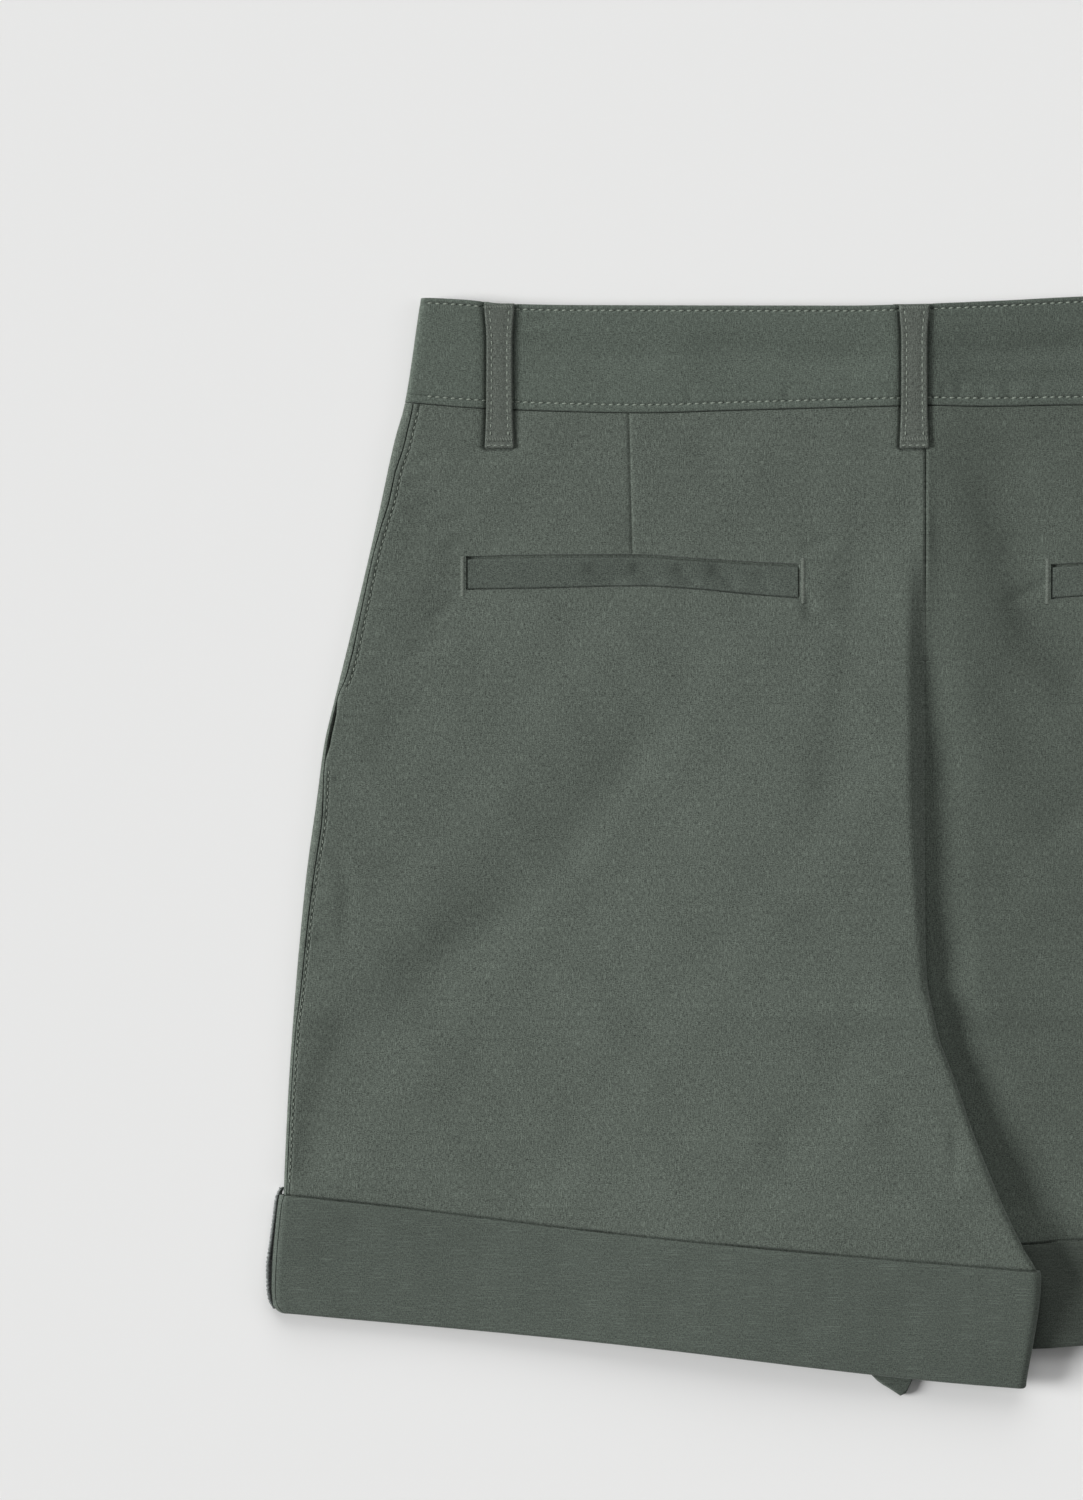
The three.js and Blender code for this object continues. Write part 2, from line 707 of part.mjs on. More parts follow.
// Height of the waistband's upper face, where "out" is positive on the left and negative on the right.
function bandTop(out, down) {
  const half = halfAt(out);
  const side = sideAt(down);
  const share = foldShare(bandFoldReach, side - Math.abs(out));
  return lerp(bandFoldMiddle(half, side) + halfGap, openBandTop(half, Math.abs(out)), share);
}

function bandUnder(half, out, down) {
  const side = sideAt(down);
  const share = foldShare(bandFoldReach, side - out);
  return lerp(bandFoldMiddle(half, side) - halfGap, openUnder(half, out, down), share);
}

const bandShares = [0, 0.25, 0.5, 0.75, 1];
const bandEdgeReaches = [0, 0.3, 1.0, 2.5, 7, 18];
const bandEdgeNormal = (out) => new THREE.Vector3(out, 0, 0).normalize();

function bandRowDown(half, share, out) {
  return lerp(half.waist(out), half.bandSeam(out) - halfGap, share);
}

function addWaistband() {
  const steps = 9;
  const lastReach = bandEdgeReaches.at(-1);
  const halfColumns = [
    ...bandEdgeReaches.map((reach) => (side) => side - reach),
    ...Array.from({ length: steps - 1 }, (_, k) => (side) => (side - lastReach) * (1 - (k + 1) / steps)),
  ];
  const bandPoint = (half, share, placeAt) => {
    const guess = placeAt(sideAt(bandSeamDown));
    const down = bandRowDown(half, share, guess);
    const out = placeAt(sideAt(down));
    return { out, down };
  };
  const backRows = bandShares.map((share) => {
    const leftPart = halfColumns.map((placeAt) => {
      const { out, down } = bandPoint(left, share, placeAt);
      return new THREE.Vector3(out, down, bandTop(out, down));
    });
    const rightPart = halfColumns.map((placeAt) => {
      const { out, down } = bandPoint(right, share, placeAt);
      return new THREE.Vector3(-out, down, bandTop(-out, down));
    });
    const centreDown = bandRowDown(left, share, 0);
    return [...leftPart, new THREE.Vector3(0, centreDown, bandTop(0, centreDown)), ...rightPart.reverse()];
  });
  const normals = gridNormals(backRows, -1);
  normals.forEach((row) => {
    row[0] = bandEdgeNormal(1);
    row[row.length - 1] = bandEdgeNormal(-1);
  });
  const inside = movedOut(backRows, normals, -bandWall);
  addPiece('waistband_back', bodyBetween(backRows, inside, left.side), bandCloth);

  const fronts = [[left, 'left', tabEndOut + halfGap], [right, 'right', -tabEndOut + halfGap]];
  fronts.forEach(([half, name, end]) => {
    const count = 12;
    const frontColumns = [
      ...bandEdgeReaches.map((reach) => (side) => side - reach),
      ...Array.from({ length: count }, (_, k) => (side) => lerp(side - lastReach, end, (k + 1) / count)),
    ];
    const grid = bandShares.map((share) => frontColumns.map((placeAt) => {
      const { out, down } = bandPoint(half, share, placeAt);
      return new THREE.Vector3(out, down, bandUnder(half, out, down));
    }));
    const geometry = wallGeometry(grid, bandWall, 1, half.side, () => bandEdgeNormal(1));
    addPiece(`waistband_front_${name}`, geometry, bandCloth);
  });
}

// A back loop lies on the waistband, bows off it a little, and ends on the panel below.
function addBackLoop({ name, out: centre }) {
  const widthAt = curve(loopRows, 'down', 'width');
  const half = halfAt(centre);
  const top = half.waist(Math.abs(centre)) + 0.2;
  const seam = half.bandSeam(Math.abs(centre));
  const downs = [top, 5, 12, 20, 28, 34, seam - 1, seam + 1.2, seam + 3.2, seam + 6, loopEndDown];
  const grid = downs.map((down) => [0.5, 0, -0.5].map((share) => {
    const out = centre + share * widthAt(down);
    const onBand = bandTop(out, Math.min(down, seam));
    const onPanel = openTop(halfAt(out), Math.abs(out), down);
    const rest = lerp(onBand, onPanel, ramp(down, seam + 1, seam + 4));
    const bow = 0.5 * Math.sin(Math.PI * clamp(down / seam, 0, 1));
    return new THREE.Vector3(out, down, rest + seamGap + bow + backLoopWall);
  }));
  addPiece(name, wallGeometry(grid, backLoopWall, -1, left.side), cloth);
}

// A front loop lies flat on the surface, under the waistband.
function addFrontLoop(half, name) {
  const downs = [half.waist(frontLoopOut) + 0.2, 13, 27, 41, loopEndDown];
  const grid = downs.map((down) => [-0.5, 0.5].map(
    (share) => new THREE.Vector3(frontLoopOut + share * frontLoopWidth, down, 0),
  ));
  addPiece(`belt_loop_front_${name}`, wallGeometry(grid, frontLoopWall, -1, half.side), cloth);
}

function addWelt(half, name, shift) {
  const topAt = curve(weltRows, 'out', 'top');
  const bottomAt = curve(weltRows, 'out', 'bottom');
  const first = weltRows[0].out;
  const last = weltRows.at(-1).out;
  const steps = 14;
  const grid = [0, 0.5, 1].map((share) => Array.from({ length: steps + 1 }, (_, k) => {
    const out = lerp(last, first, k / steps);
    const down = lerp(topAt(out), bottomAt(out), share);
    return new THREE.Vector3(out + shift, down, openTop(half, out + shift, down) + seamGap + weltWall);
  }));
  addPiece(`pocket_welt_${name}`, wallGeometry(grid, weltWall, 1, half.side), cloth);
}

// A resin button with its rim on the surface and a dished middle.
function addButton() {
  const dish = 0.6;
  const rim = 1.6;
  const round = 0.4;
  const profile = [
    [0, dish], [buttonRadius - rim - round, dish], [buttonRadius - rim, 0], [buttonRadius - round, 0],
    [buttonRadius, round], [buttonRadius, buttonHeight - round], [buttonRadius - round, buttonHeight],
    [0, buttonHeight],
  ];
  const outline = profile.map(([radius, height]) => new THREE.Vector2(radius, height));
  const geometry = new THREE.LatheGeometry(outline, buttonSegments);
  geometry.rotateX(Math.PI / 2);
  geometry.translate(0, -buttonDown, 0);
  addPiece('waist_button', geometry, buttonResin);
}

addLeg(left, 'left');
addLeg(right, 'right');
addAllowance(left, 'left');
addAllowance(right, 'right');
addWaistband();
backLoops.forEach(addBackLoop);
addFrontLoop(left, 'left');
addFrontLoop(right, 'right');
addWelt(left, 'left', 0);
addWelt(right, 'right', -1.5);
addButton();

// The origin is under the middle of the whole, on the surface.
const bounds = new THREE.Box3().setFromObject(shorts);
const middle = bounds.getCenter(new THREE.Vector3());
shorts.position.set(-middle.x, -middle.y, -bounds.min.z);

export default shorts;
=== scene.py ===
import math

import bmesh
import bpy
import numpy as np
from mathutils import Matrix, Vector


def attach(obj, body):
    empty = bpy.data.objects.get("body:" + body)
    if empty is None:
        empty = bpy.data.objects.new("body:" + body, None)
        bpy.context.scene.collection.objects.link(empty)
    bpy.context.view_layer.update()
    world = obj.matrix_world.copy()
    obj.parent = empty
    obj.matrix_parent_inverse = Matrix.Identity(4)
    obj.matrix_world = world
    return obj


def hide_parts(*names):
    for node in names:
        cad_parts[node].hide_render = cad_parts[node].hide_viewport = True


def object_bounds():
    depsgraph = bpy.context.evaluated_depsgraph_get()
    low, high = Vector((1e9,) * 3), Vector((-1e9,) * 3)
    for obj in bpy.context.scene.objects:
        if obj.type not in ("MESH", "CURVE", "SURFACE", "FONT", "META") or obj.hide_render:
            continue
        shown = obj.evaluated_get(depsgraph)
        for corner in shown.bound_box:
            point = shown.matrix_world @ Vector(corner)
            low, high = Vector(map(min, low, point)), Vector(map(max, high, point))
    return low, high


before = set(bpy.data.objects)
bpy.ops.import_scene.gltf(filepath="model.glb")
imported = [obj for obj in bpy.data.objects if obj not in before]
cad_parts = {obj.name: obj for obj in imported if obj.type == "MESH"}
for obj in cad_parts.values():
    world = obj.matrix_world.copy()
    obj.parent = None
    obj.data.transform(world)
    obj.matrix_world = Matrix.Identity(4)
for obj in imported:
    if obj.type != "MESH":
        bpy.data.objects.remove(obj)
cad_low, cad_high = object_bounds()

# Chino shorts laid flat on a table with the back up. Sizes are in millimetres until a piece is placed.
# "out" is the distance from the centre line towards a side, "down" the distance below the waist.

TOP_RISE = 5.5                      # of the waistband above the waist line, at its highest
WAIST_Y = cad_high.y * 1000 - TOP_RISE

# Walls of cloth and the gaps between pieces.
CLOTH = 1.2
BAND = 1.8
LOOP_CLOTH = 0.95
FRONT_LOOP = 1.0
SEAM_GAP = 0.3
HALF_GAP = SEAM_GAP / 2
CLOSED_GAP = 0.04                   # left at the centre seam where the valley hides it
SEAM_CLOSES = (92, 128)             # down, where it closes to that

# How far in from an edge its fold begins.
SIDE_FOLD = 2.6
LEG_FOLD = 2.2
BAND_FOLD = 2.5

BAND_PROUD = 0.4                    # by which the band stands above the panel
BAND_SEAM = 37

CROTCH = 254
LEGS_PART = 264
CLOSE_LENGTH = 7                    # above the crotch, where front and back come together
COVERED_MARGIN = 2.5                # by which the lower leg stays low past the edge of the upper one
COVERED_SLOPE = 6
OVER_LEG_MARGIN = 6                 # past the edge of the lower leg, where the upper one is still raised
OVER_LEG_SLOPE = 30
OVER_LEG_SPREAD = 26                # more slope for each millimetre of spread
RIDGE_FADE = (10, 180)              # out from the left half's edge
SINK_FADE = (30, 130)               # out from the centre
BRIDGE_SPREAD = 5                   # more room in which the back comes down again after what raises it

CUFF_LIFT = CLOTH + SEAM_GAP
CUFF_FOLD = (2 * CLOTH + SEAM_GAP) / 2
CUFF_LIP = 3.0
CUFF_RISE_START, CUFF_RISE_END = 24, 8      # above the turn-up's top edge
HIDDEN_CUFF_REACH = 0.7             # of the turned-up cloth behind its fold

FRONT_LOOP_LIFT = FRONT_LOOP + SEAM_GAP
FRONT_LOOP_OUT = 95
FRONT_LOOP_WIDTH = 10.5
LOOP_END = 53.6
LOOP_ROOM = 3                       # below the loops, where the front is still raised
WAIST_LIFT_END = 92
TACK_DOWN = 48.9
LOOP_ROW = 1.9                      # in from a loop's edge to its stitches
TACK_ROW = 1.0                      # up from a loop's end to its lowest stitches

TAB_END = 12
BUTTON_DOWN = 19
BUTTON_RADIUS = 7.5
BUTTON_MARGIN = 1.5
BUTTON_LIFT_RADIUS = 28
BUTTON_HEIGHT = 2.3
SLIT_TOP, SLIT_END, SLIT_WIDTH, SLIT_TAPER = 147, 172, 1.1, 8
SLIT_CLEAR = 6                      # above and below the slit, where the topstitching fades out
BAND_TOP_ROW, BAND_LOW_ROW = 2.1, 2.9
POCKET_IN, POCKET_OUT = 48.0, 172.0
POCKET_DEPTH = 1.35
POCKET_DEPTH_INSIDE = 1.05
WELT_GAP, WELT_LOW_GAP = 0.3, 0.1   # from the welt's top and bottom lines to its cloth
WELT_WALL = 0.85
DART_OUT, DART_END_OUT, DART_END = 111.4, 110.1, 94

# Grooves that seams, edges and stitches press into the cloth: depth and half width.
CENTRE_SEAM_GROOVE = (0.5, 0.5)
SIDE_SEAM_GROOVE = (0.35, 0.35)
SIDE_ROW_GROOVE = (0.45, 0.4)
DART_GROOVE = (0.45, 0.45)
CUFF_GROOVE = (0.75, 0.55)
BAND_ROW_GROOVE = (0.5, 0.4)
BESIDE_LOOP_GROOVE = (1.15, 0.5)
ROUND_LOOP_GROOVE = (0.25, 1.6)
BELOW_LOOP_GROOVE = (1, 0.5)
LOOP_ROW_GROOVE = (0.28, 0.45)
TACK_GROOVE = (0.5, 0.6)
LOOP_END_GROOVE = (0.4, 0.4)

# How deep the rows of stitches sit in the cloth.
BAND_ROW_SINK, SIDE_ROW_SINK, LOOP_ROW_SINK = 0.26, 0.18, 0.2


def lerp(a, b, share):
    return a + (b - a) * share


def ramp(place, start, end):
    share = np.clip((place - start) / (end - start), 0, 1)
    return share * share * (3 - 2 * share)


def bell(off, width):
    return np.exp(-(off / width) ** 2)


def groove(off, shape):
    depth, width = shape
    return depth * bell(off, width)


def curve(rows, column=1):
    """A smooth line through a table's rows, level beyond both ends, that never swings past them."""
    at = np.array([row[0] for row in rows], float)
    value = np.array([row[column] for row in rows], float)
    rise = np.diff(value) / np.diff(at)
    slope = np.zeros(len(at))
    slope[0], slope[-1] = rise[0], rise[-1]
    for i in range(1, len(at) - 1):
        if rise[i - 1] * rise[i] > 0:
            slope[i] = 2 * rise[i - 1] * rise[i] / (rise[i - 1] + rise[i])

    def line(place):
        x = np.clip(place, at[0], at[-1])
        i = np.clip(np.searchsorted(at, x) - 1, 0, len(at) - 2)
        span = at[i + 1] - at[i]
        t = (x - at[i]) / span
        leave = span * slope[i] * t * (1 - t) ** 2
        arrive = span * slope[i + 1] * t * t * (t - 1)
        return lerp(value[i], value[i + 1], t * t * (3 - 2 * t)) + leave + arrive

    return line


# Down, and half the width to the side fold.
side_at = curve([
    (-6, 189.0), (0, 190.0), (37, 195.7), (50, 199.3), (80, 205.9), (125, 216.4), (147, 221.8),
    (165, 226.0), (185, 228.7), (215, 232.8), (260, 237.0), (305, 240.0), (334, 241.1), (400, 242.6),
])
# Down, and how far in from the side fold the side seam lies on the back.
seam_inset = curve([
    (37, 3.2), (52, 4.0), (64, 2.9), (73, 2.9), (82, 2.1), (95, 1.5), (118, 2.0), (131, 2.4), (139, 2.3),
    (147, 1.0), (172, 1.3), (198, 3.2), (225, 2.6), (255, 2.1), (275, 1.3), (400, 1.1),
])
# Down, and how far the topstitching lies from the side seam.
side_stitch = curve([(37, 2.4), (130, 2.2), (172, 1.9), (220, 1.3), (400, 1.0)])
# Out, and the welt's top and bottom edges.
WELT_ROWS = [
    (48.0, 97.9, 109.7), (62.0, 97.2, 108.6), (89.0, 95.5, 106.1), (107.0, 94.3, 105.2),
    (147.0, 94.4, 106.0), (172.0, 94.9, 106.3),
]
welt_top = curve(WELT_ROWS, 1)
welt_bottom = curve(WELT_ROWS, 2)
# Down, and the width of a back belt loop.
loop_width = curve([(0, 11.4), (14, 9.6), (38, 9.8), (54, 11.0)])
# Down, and the outer edge of the serged allowance at the side of a cuff.
ALLOWANCE_ROWS = [
    (331.5, 242.9), (335.0, 244.4), (342.0, 245.3), (351.0, 246.5), (362.0, 247.8), (369.0, 247.6),
    (374.0, 246.8), (377.0, 245.4),
]
# Down, and how far to the right of the centre seam the valley between the halves is deepest.
valley_line = curve([(120, 0), (190, 2), (215, 3), (240, 4.5), (262, 5.6), (276, 7)])
# Down, how wide the left half's slope into the valley is, and the right half's.
VALLEY_REACH = [
    (37, 7.0, 4.0), (96, 7.0, 5.0), (126, 7.6, 8.0), (150, 8.0, 11.0), (190, 8.6, 15.0),
    (230, 8.2, 17.0), (262, 7.0, 14.0), (276, 6.5, 11.0), (300, 6.5, 16.0), (322, 6.5, 26.0),
    (338, 6.5, 36.0), (354, 6.5, 36.0), (380, 6.5, 18.0),
]
valley_reach = {-1: curve(VALLEY_REACH, 1), 1: curve(VALLEY_REACH, 2)}
# Down, and how far the cloth beside the valley stands up.
ridge_height = curve([
    (40, 0), (84, 0.4), (110, 1.9), (150, 3.3), (200, 3.7), (245, 3.0), (276, 1.9), (300, 2.5),
    (330, 3.4), (356, 1.8), (385, 0.8), (410, 0.4),
])
# Down, and how much lower the right half lies beside the valley.
right_sink = curve([(84, 0), (110, 0.4), (150, 1.0), (200, 1.5), (260, 1.6), (320, 1.2), (345, 0)])
# Down, and the outer edge of the turned-up cuff at the side.
cuff_side = curve([
    (333.0, 240.9), (337.0, 242.0), (345.0, 242.9), (357.0, 244.0), (364.0, 244.4), (370.0, 244.6),
    (373.5, 244.3), (375.6, 243.6), (377.4, 242.3), (378.6, 241.1), (380.0, 240.0),
])
# Out, and the drop of the right leg's loose cuff corner below its hem.
corner_drop = curve([
    (-26.0, 0.0), (-21.5, 4.8), (-17.2, 9.5), (-12.4, 12.7), (-8.2, 15.4), (-3.8, 8.0), (1.6, 0.0),
])


def trough(out, down, path, depth, width, wider=(1, 1), tail=0.3):
    """Depth of a soft trough along a path of out and down, which fades at both ends.

    For a path that runs down, its inner side and its outer side can be wider by their own factors.
    """
    nearest = np.full(np.shape(out), 1e9)
    reach = np.full(np.shape(out), float(width))
    along = np.zeros(np.shape(out))
    run = 0.0
    for (out_a, down_a), (out_b, down_b) in zip(path, path[1:]):
        step_out, step_down = out_b - out_a, down_b - down_a
        length = math.hypot(step_out, step_down)
        share = np.clip(((out - out_a) * step_out + (down - down_a) * step_down) / length ** 2, 0, 1)
        off = np.hypot(out - out_a - share * step_out, down - down_a - share * step_down)
        outer_side = (out - out_a) * step_down - (down - down_a) * step_out > 0
        closer = off < nearest
        reach = np.where(closer, width * np.where(outer_side, wider[1], wider[0]), reach)
        nearest = np.where(closer, off, nearest)
        along = np.where(closer, run + share * length, along)
        run += length
    fade = ramp(along / run, 0, tail) * (1 - ramp(along / run, 1 - tail, 1))
    return depth * fade * bell(nearest, reach)


def creased(creases, out, down):
    return sum((trough(out, down, *crease) for crease in creases), 0)


def rolled(distance, radius):
    """Drop of a rounded edge at a distance in from it."""
    inward = radius - np.clip(distance, 0, radius)
    return radius - np.sqrt(radius ** 2 - inward ** 2)


# The middle of each back belt loop, counted to the left.
LOOPS = {"left": 160.0, "centre": 4.3, "right": -158.5}


def loop_press(x, down):
    """The band and the panel give a little round a loop's edges, where x is counted to the left."""
    depth = 0
    for centre in LOOPS.values():
        off = np.abs(x - centre) - loop_width(down) / 2
        depth = depth + groove(off - 0.3, BESIDE_LOOP_GROOVE) + groove(off - 1.2, ROUND_LOOP_GROOVE)
    depth = depth * (1 - ramp(down, LOOP_END - 0.2, LOOP_END + 0.8))
    for centre in LOOPS.values():
        under = 1 - ramp(np.abs(x - centre) - loop_width(down) / 2, -0.5, 0.5)
        depth = depth + under * groove(down - LOOP_END - 0.3, BELOW_LOOP_GROOVE)
    return depth


class Half:
    """One half of the shorts: its edges, its heights and its creases."""

    def __init__(self, name, side, waist, band_seam, cuff_top, hem, past, loft, centre_seam, lift, folds):
        self.name = name
        self.side = side
        self.waist = curve(waist)
        self.band_seam = curve(band_seam)
        self.cuff_top = curve(cuff_top)
        self.hem = curve(hem)
        self.past = curve(past)
        self.loft_centre = curve(loft, 1)
        self.loft_middle = curve(loft, 2)
        self.loft_side = curve(loft, 3)
        self.centre_seam = curve(centre_seam)
        self.lift = curve(lift)
        self.folds = folds

    def inner_edge(self, down):
        return lerp(HALF_GAP, CLOSED_GAP, ramp(down, *SEAM_CLOSES)) - self.past(down)

    def fold_depth(self, out, down):
        """Depth of the broad troughs that the solids have too."""
        total = 0
        for from_out, from_down, to_out, to_down, depth, width in self.folds:
            step_out, step_down = to_out - from_out, to_down - from_down
            length = math.hypot(step_out, step_down)
            along = ((out - from_out) * step_out + (down - from_down) * step_down) / length ** 2
            off = ((out - from_out) * step_down - (down - from_down) * step_out) / length
            fade = ramp(along, -0.1, 0.25) * (1 - ramp(along, 0.7, 1.1))
            total = total + depth * fade * bell(off, width)
        return total

    def valley(self, out, down):
        """How much of the sink to the centre seam, or to the leg on top, is left at a place."""
        beyond = self.side * out - valley_line(down)
        if self.side < 0:
            return (1 - ramp(-beyond, 0, valley_reach[-1](down))) * (1 - ramp(down, CROTCH, LEGS_PART))
        covered = ramp(down, CROTCH, LEGS_PART)
        beyond = lerp(beyond, np.maximum(0, out - LEFT.past(down) - COVERED_MARGIN), covered)
        return 1 - ramp(np.abs(beyond), 0, valley_reach[1](down) + COVERED_SLOPE * covered)

    def ridge(self, out, down):
        """The left half stands up beside the centre valley, and the right half lies lower."""
        if self.side < 0:
            from_edge = out + LEFT.past(down)
            return ridge_height(down) * (1 - ramp(from_edge, *RIDGE_FADE))
        return -right_sink(down) * (1 - ramp(out, *SINK_FADE))

    def raised(self, out, down, spread):
        """How far the front loops, the cuff's turn-up and the other leg raise the cloth from below."""
        waist_lift = FRONT_LOOP_LIFT * (1 - ramp(down, LOOP_END + LOOP_ROOM, WAIST_LIFT_END + spread))
        cuff_top = self.cuff_top(out)
        cuff_rise = CUFF_LIFT * ramp(down, cuff_top - CUFF_RISE_START - spread, cuff_top - CUFF_RISE_END)
        leg_end = RIGHT.past(down) + OVER_LEG_MARGIN
        slope_end = leg_end + OVER_LEG_SLOPE + OVER_LEG_SPREAD * spread
        over_leg = self.lift(down) * (1 - ramp(out, leg_end, slope_end))
        return waist_lift + cuff_rise + over_leg

    def smooth_top(self, out, down):
        """Height of the back's upper face before its creases and the folds at its edges."""
        share = np.clip(out / side_at(down), 0, 1)
        inner = lerp(self.loft_centre(down), self.loft_middle(down), ramp(share, 0, 0.5))
        loft = lerp(inner, self.loft_side(down), ramp(share, 0.5, 1))
        crown = loft + self.raised(out, down, BRIDGE_SPREAD) + self.ridge(out, down)
        sunk = lerp(crown, self.centre_seam(down), self.valley(out, down))
        clear_of_edges = ramp(out, 4, 24) * ramp(side_at(down) - out, 4, 22)
        return sunk - self.fold_depth(out, down) * clear_of_edges

    def open_top(self, out, down):
        pressed = loop_press(-self.side * out, down)
        laid = self.smooth_top(out, down) - creased(self.creases, out, down)
        return laid - pressed - rumple(out * self.side, down)

    def open_under(self, out, down):
        """Height of the front's lower face before the folds at its edges."""
        from_button = np.hypot(out, down - BUTTON_DOWN)
        over_button = 1 - ramp(from_button, BUTTON_RADIUS + BUTTON_MARGIN, BUTTON_LIFT_RADIUS)
        rise = (BUTTON_HEIGHT + SEAM_GAP - FRONT_LOOP_LIFT) * over_button + self.raised(out, down, 0)
        return rise + creased(self.front_creases, out, down)

    def fold_middle(self, edge_out, down):
        return (self.open_top(edge_out, down) + self.open_under(edge_out, down)) / 2

    def top_face(self, out, down):
        top = self.open_top(out, down)
        side = side_at(down)
        by_side = lerp(self.fold_middle(side - SIDE_FOLD, down), top, fold_share(SIDE_FOLD, side - out))
        inner = self.inner_edge(down)
        inner_middle = self.fold_middle(inner + LEG_FOLD, down) + HALF_GAP
        by_inner = lerp(inner_middle, by_side, fold_share(LEG_FOLD, out - inner))
        return lerp(by_side, by_inner, leg_closed(down))

    def under_face(self, out, down):
        under = self.open_under(out, down)
        inner = self.inner_edge(down)
        inner_middle = self.fold_middle(inner + LEG_FOLD, down) - HALF_GAP
        by_inner = lerp(inner_middle, under, fold_share(LEG_FOLD, out - inner))
        return lerp(under, by_inner, leg_closed(down))

    def open_band(self, out):
        return self.smooth_top(out, np.full(np.shape(out), float(BAND_SEAM))) + BAND_PROUD

    def band_middle(self, side):
        return (self.open_band(side - BAND_FOLD) + FRONT_LOOP_LIFT) / 2

    def band_top(self, out, down):
        side = side_at(down)
        top = self.open_band(out) - creased(self.band_creases, out, down) - loop_press(-self.side * out, down)
        return lerp(self.band_middle(side) + HALF_GAP, top, fold_share(BAND_FOLD, side - out))

    def band_under(self, out, down):
        side = side_at(down)
        under = self.open_under(out, down)
        return lerp(self.band_middle(side) - HALF_GAP, under, fold_share(BAND_FOLD, side - out))


def fold_share(reach, distance):
    return np.sqrt(1 - (1 - np.clip(distance / reach, 0, 1)) ** 2)


def leg_closed(down):
    return ramp(down, CROTCH - CLOSE_LENGTH, CROTCH)


def rumple(x, down):
    """Slight unevenness of cloth: waves with a length across and down, a phase and a height."""
    waves = [
        (47, 61, 0.4, 0.10), (-38, 83, 1.9, 0.09), (71, -44, 4.1, 0.09), (29, 37, 2.7, 0.05),
        (-23, 31, 5.3, 0.04),
    ]
    return sum(height * np.sin(2 * math.pi * (x / across + down / along) + phase)
               for across, along, phase, height in waves)


# Edges are rows of out and down. The other rows start with down: "past" is how far a leg reaches over the
# centre line, "loft" the height of the upper face near the centre, half way and near the side, "centre_seam"
# its height at the centre, and "lift" how far the lay raises it beside the centre. A fold is a line from out
# and down to out and down, a depth and a half width.
LEFT = Half(
    name="left",
    side=-1,
    waist=[(0, -0.7), (30, 0), (130, -0.2), (158, -0.8), (173, -2.3), (186, -3.0)],
    band_seam=[(0, 37.5), (26, 38.2), (67, 39.3), (107, 40.4), (131, 40.0), (167, 38.6), (195, 36.4)],
    cuff_top=[(-43, 362.3), (47, 354.8), (122, 347.8), (197, 338.9), (241, 334.0)],
    hem=[(-38, 406.4), (0, 403.0), (45, 397.9), (82, 393.4), (120, 389.3), (195, 382.5), (240, 378.6)],
    past=[
        (244, 0), (256, 1.0), (266, 2.9), (275.6, 5.2), (283, 8.0), (295, 12.4), (309, 17.2), (336, 28.0),
        (353, 36.0), (364, 41.4), (404, 36.2),
    ],
    loft=[
        (37, 5.4, 5.6, 4.6), (100, 5.8, 5.9, 5.0), (190, 6.2, 6.0, 5.1), (264, 6.2, 6.1, 5.1),
        (280, 4.6, 6.0, 5.1), (320, 4.4, 5.6, 5.0), (345, 3.5, 5.0, 4.8), (360, 3.2, 4.9, 4.2),
        (405, 3.2, 4.7, 4.1),
    ],
    centre_seam=[
        (37, 6.7), (60, 7.1), (84, 6.9), (96, 6.2), (112, 5.6), (130, 4.9), (155, 3.8), (185, 3.0),
        (264, 2.9),
    ],
    lift=[
        (230, 0), (254, 1.0), (262, 2.6), (266, 3.4), (276, 3.8), (310, 4.8), (343, 6.7), (362, 7.0),
        (388, 6.6), (406, 4.2),
    ],
    folds=[(89, 142, 213, 282, 1.3, 13), (62, 330, 18, 250, 0.6, 12), (205, 120, 188, 62, 0.5, 9)],
)
RIGHT = Half(
    name="right",
    side=1,
    waist=[(0, -0.7), (29, -1.9), (59, -3.4), (110, -4.8), (189, -5.5)],
    band_seam=[(0, 37.5), (23, 37.9), (58, 37.4), (107, 37.6), (150, 36.6), (195, 34.6)],
    cuff_top=[(-25, 356.5), (39, 352.9), (59, 351.4), (122, 346.0), (197, 338.3), (241, 334.0)],
    hem=[(-25, 395.8), (41, 391.9), (59, 390.7), (120, 387.0), (195, 382.0), (240, 378.6)],
    past=[(264, 0), (276, 0), (309, 9), (336, 15), (361, 19), (400, 20)],
    loft=[
        (37, 5.4, 5.7, 4.6), (100, 5.8, 6.0, 5.0), (190, 6.1, 6.0, 5.1), (264, 6.0, 6.1, 5.1),
        (320, 5.8, 6.0, 5.0), (360, 5.0, 5.0, 4.2), (405, 4.8, 4.7, 4.1),
    ],
    centre_seam=[
        (37, 6.7), (60, 7.1), (84, 6.9), (96, 6.2), (112, 5.6), (130, 4.9), (155, 3.8), (185, 3.0),
        (264, 2.9), (275, 3.0), (335, 3.1), (351, 4.5), (405, 4.6),
    ],
    lift=[(238, 0), (264, 1.2), (275, 0), (410, 0)],
    folds=[(30, 108, 74, 142, 1.1, 9), (112, 168, 214, 262, 1.1, 14), (204, 112, 190, 60, 0.5, 9)],
)


def short_creases(*rows):
    """Short straight creases, each a row of out and down at both ends, depth and half width."""
    return [([row[:2], row[2:4]], *row[4:]) for row in rows]


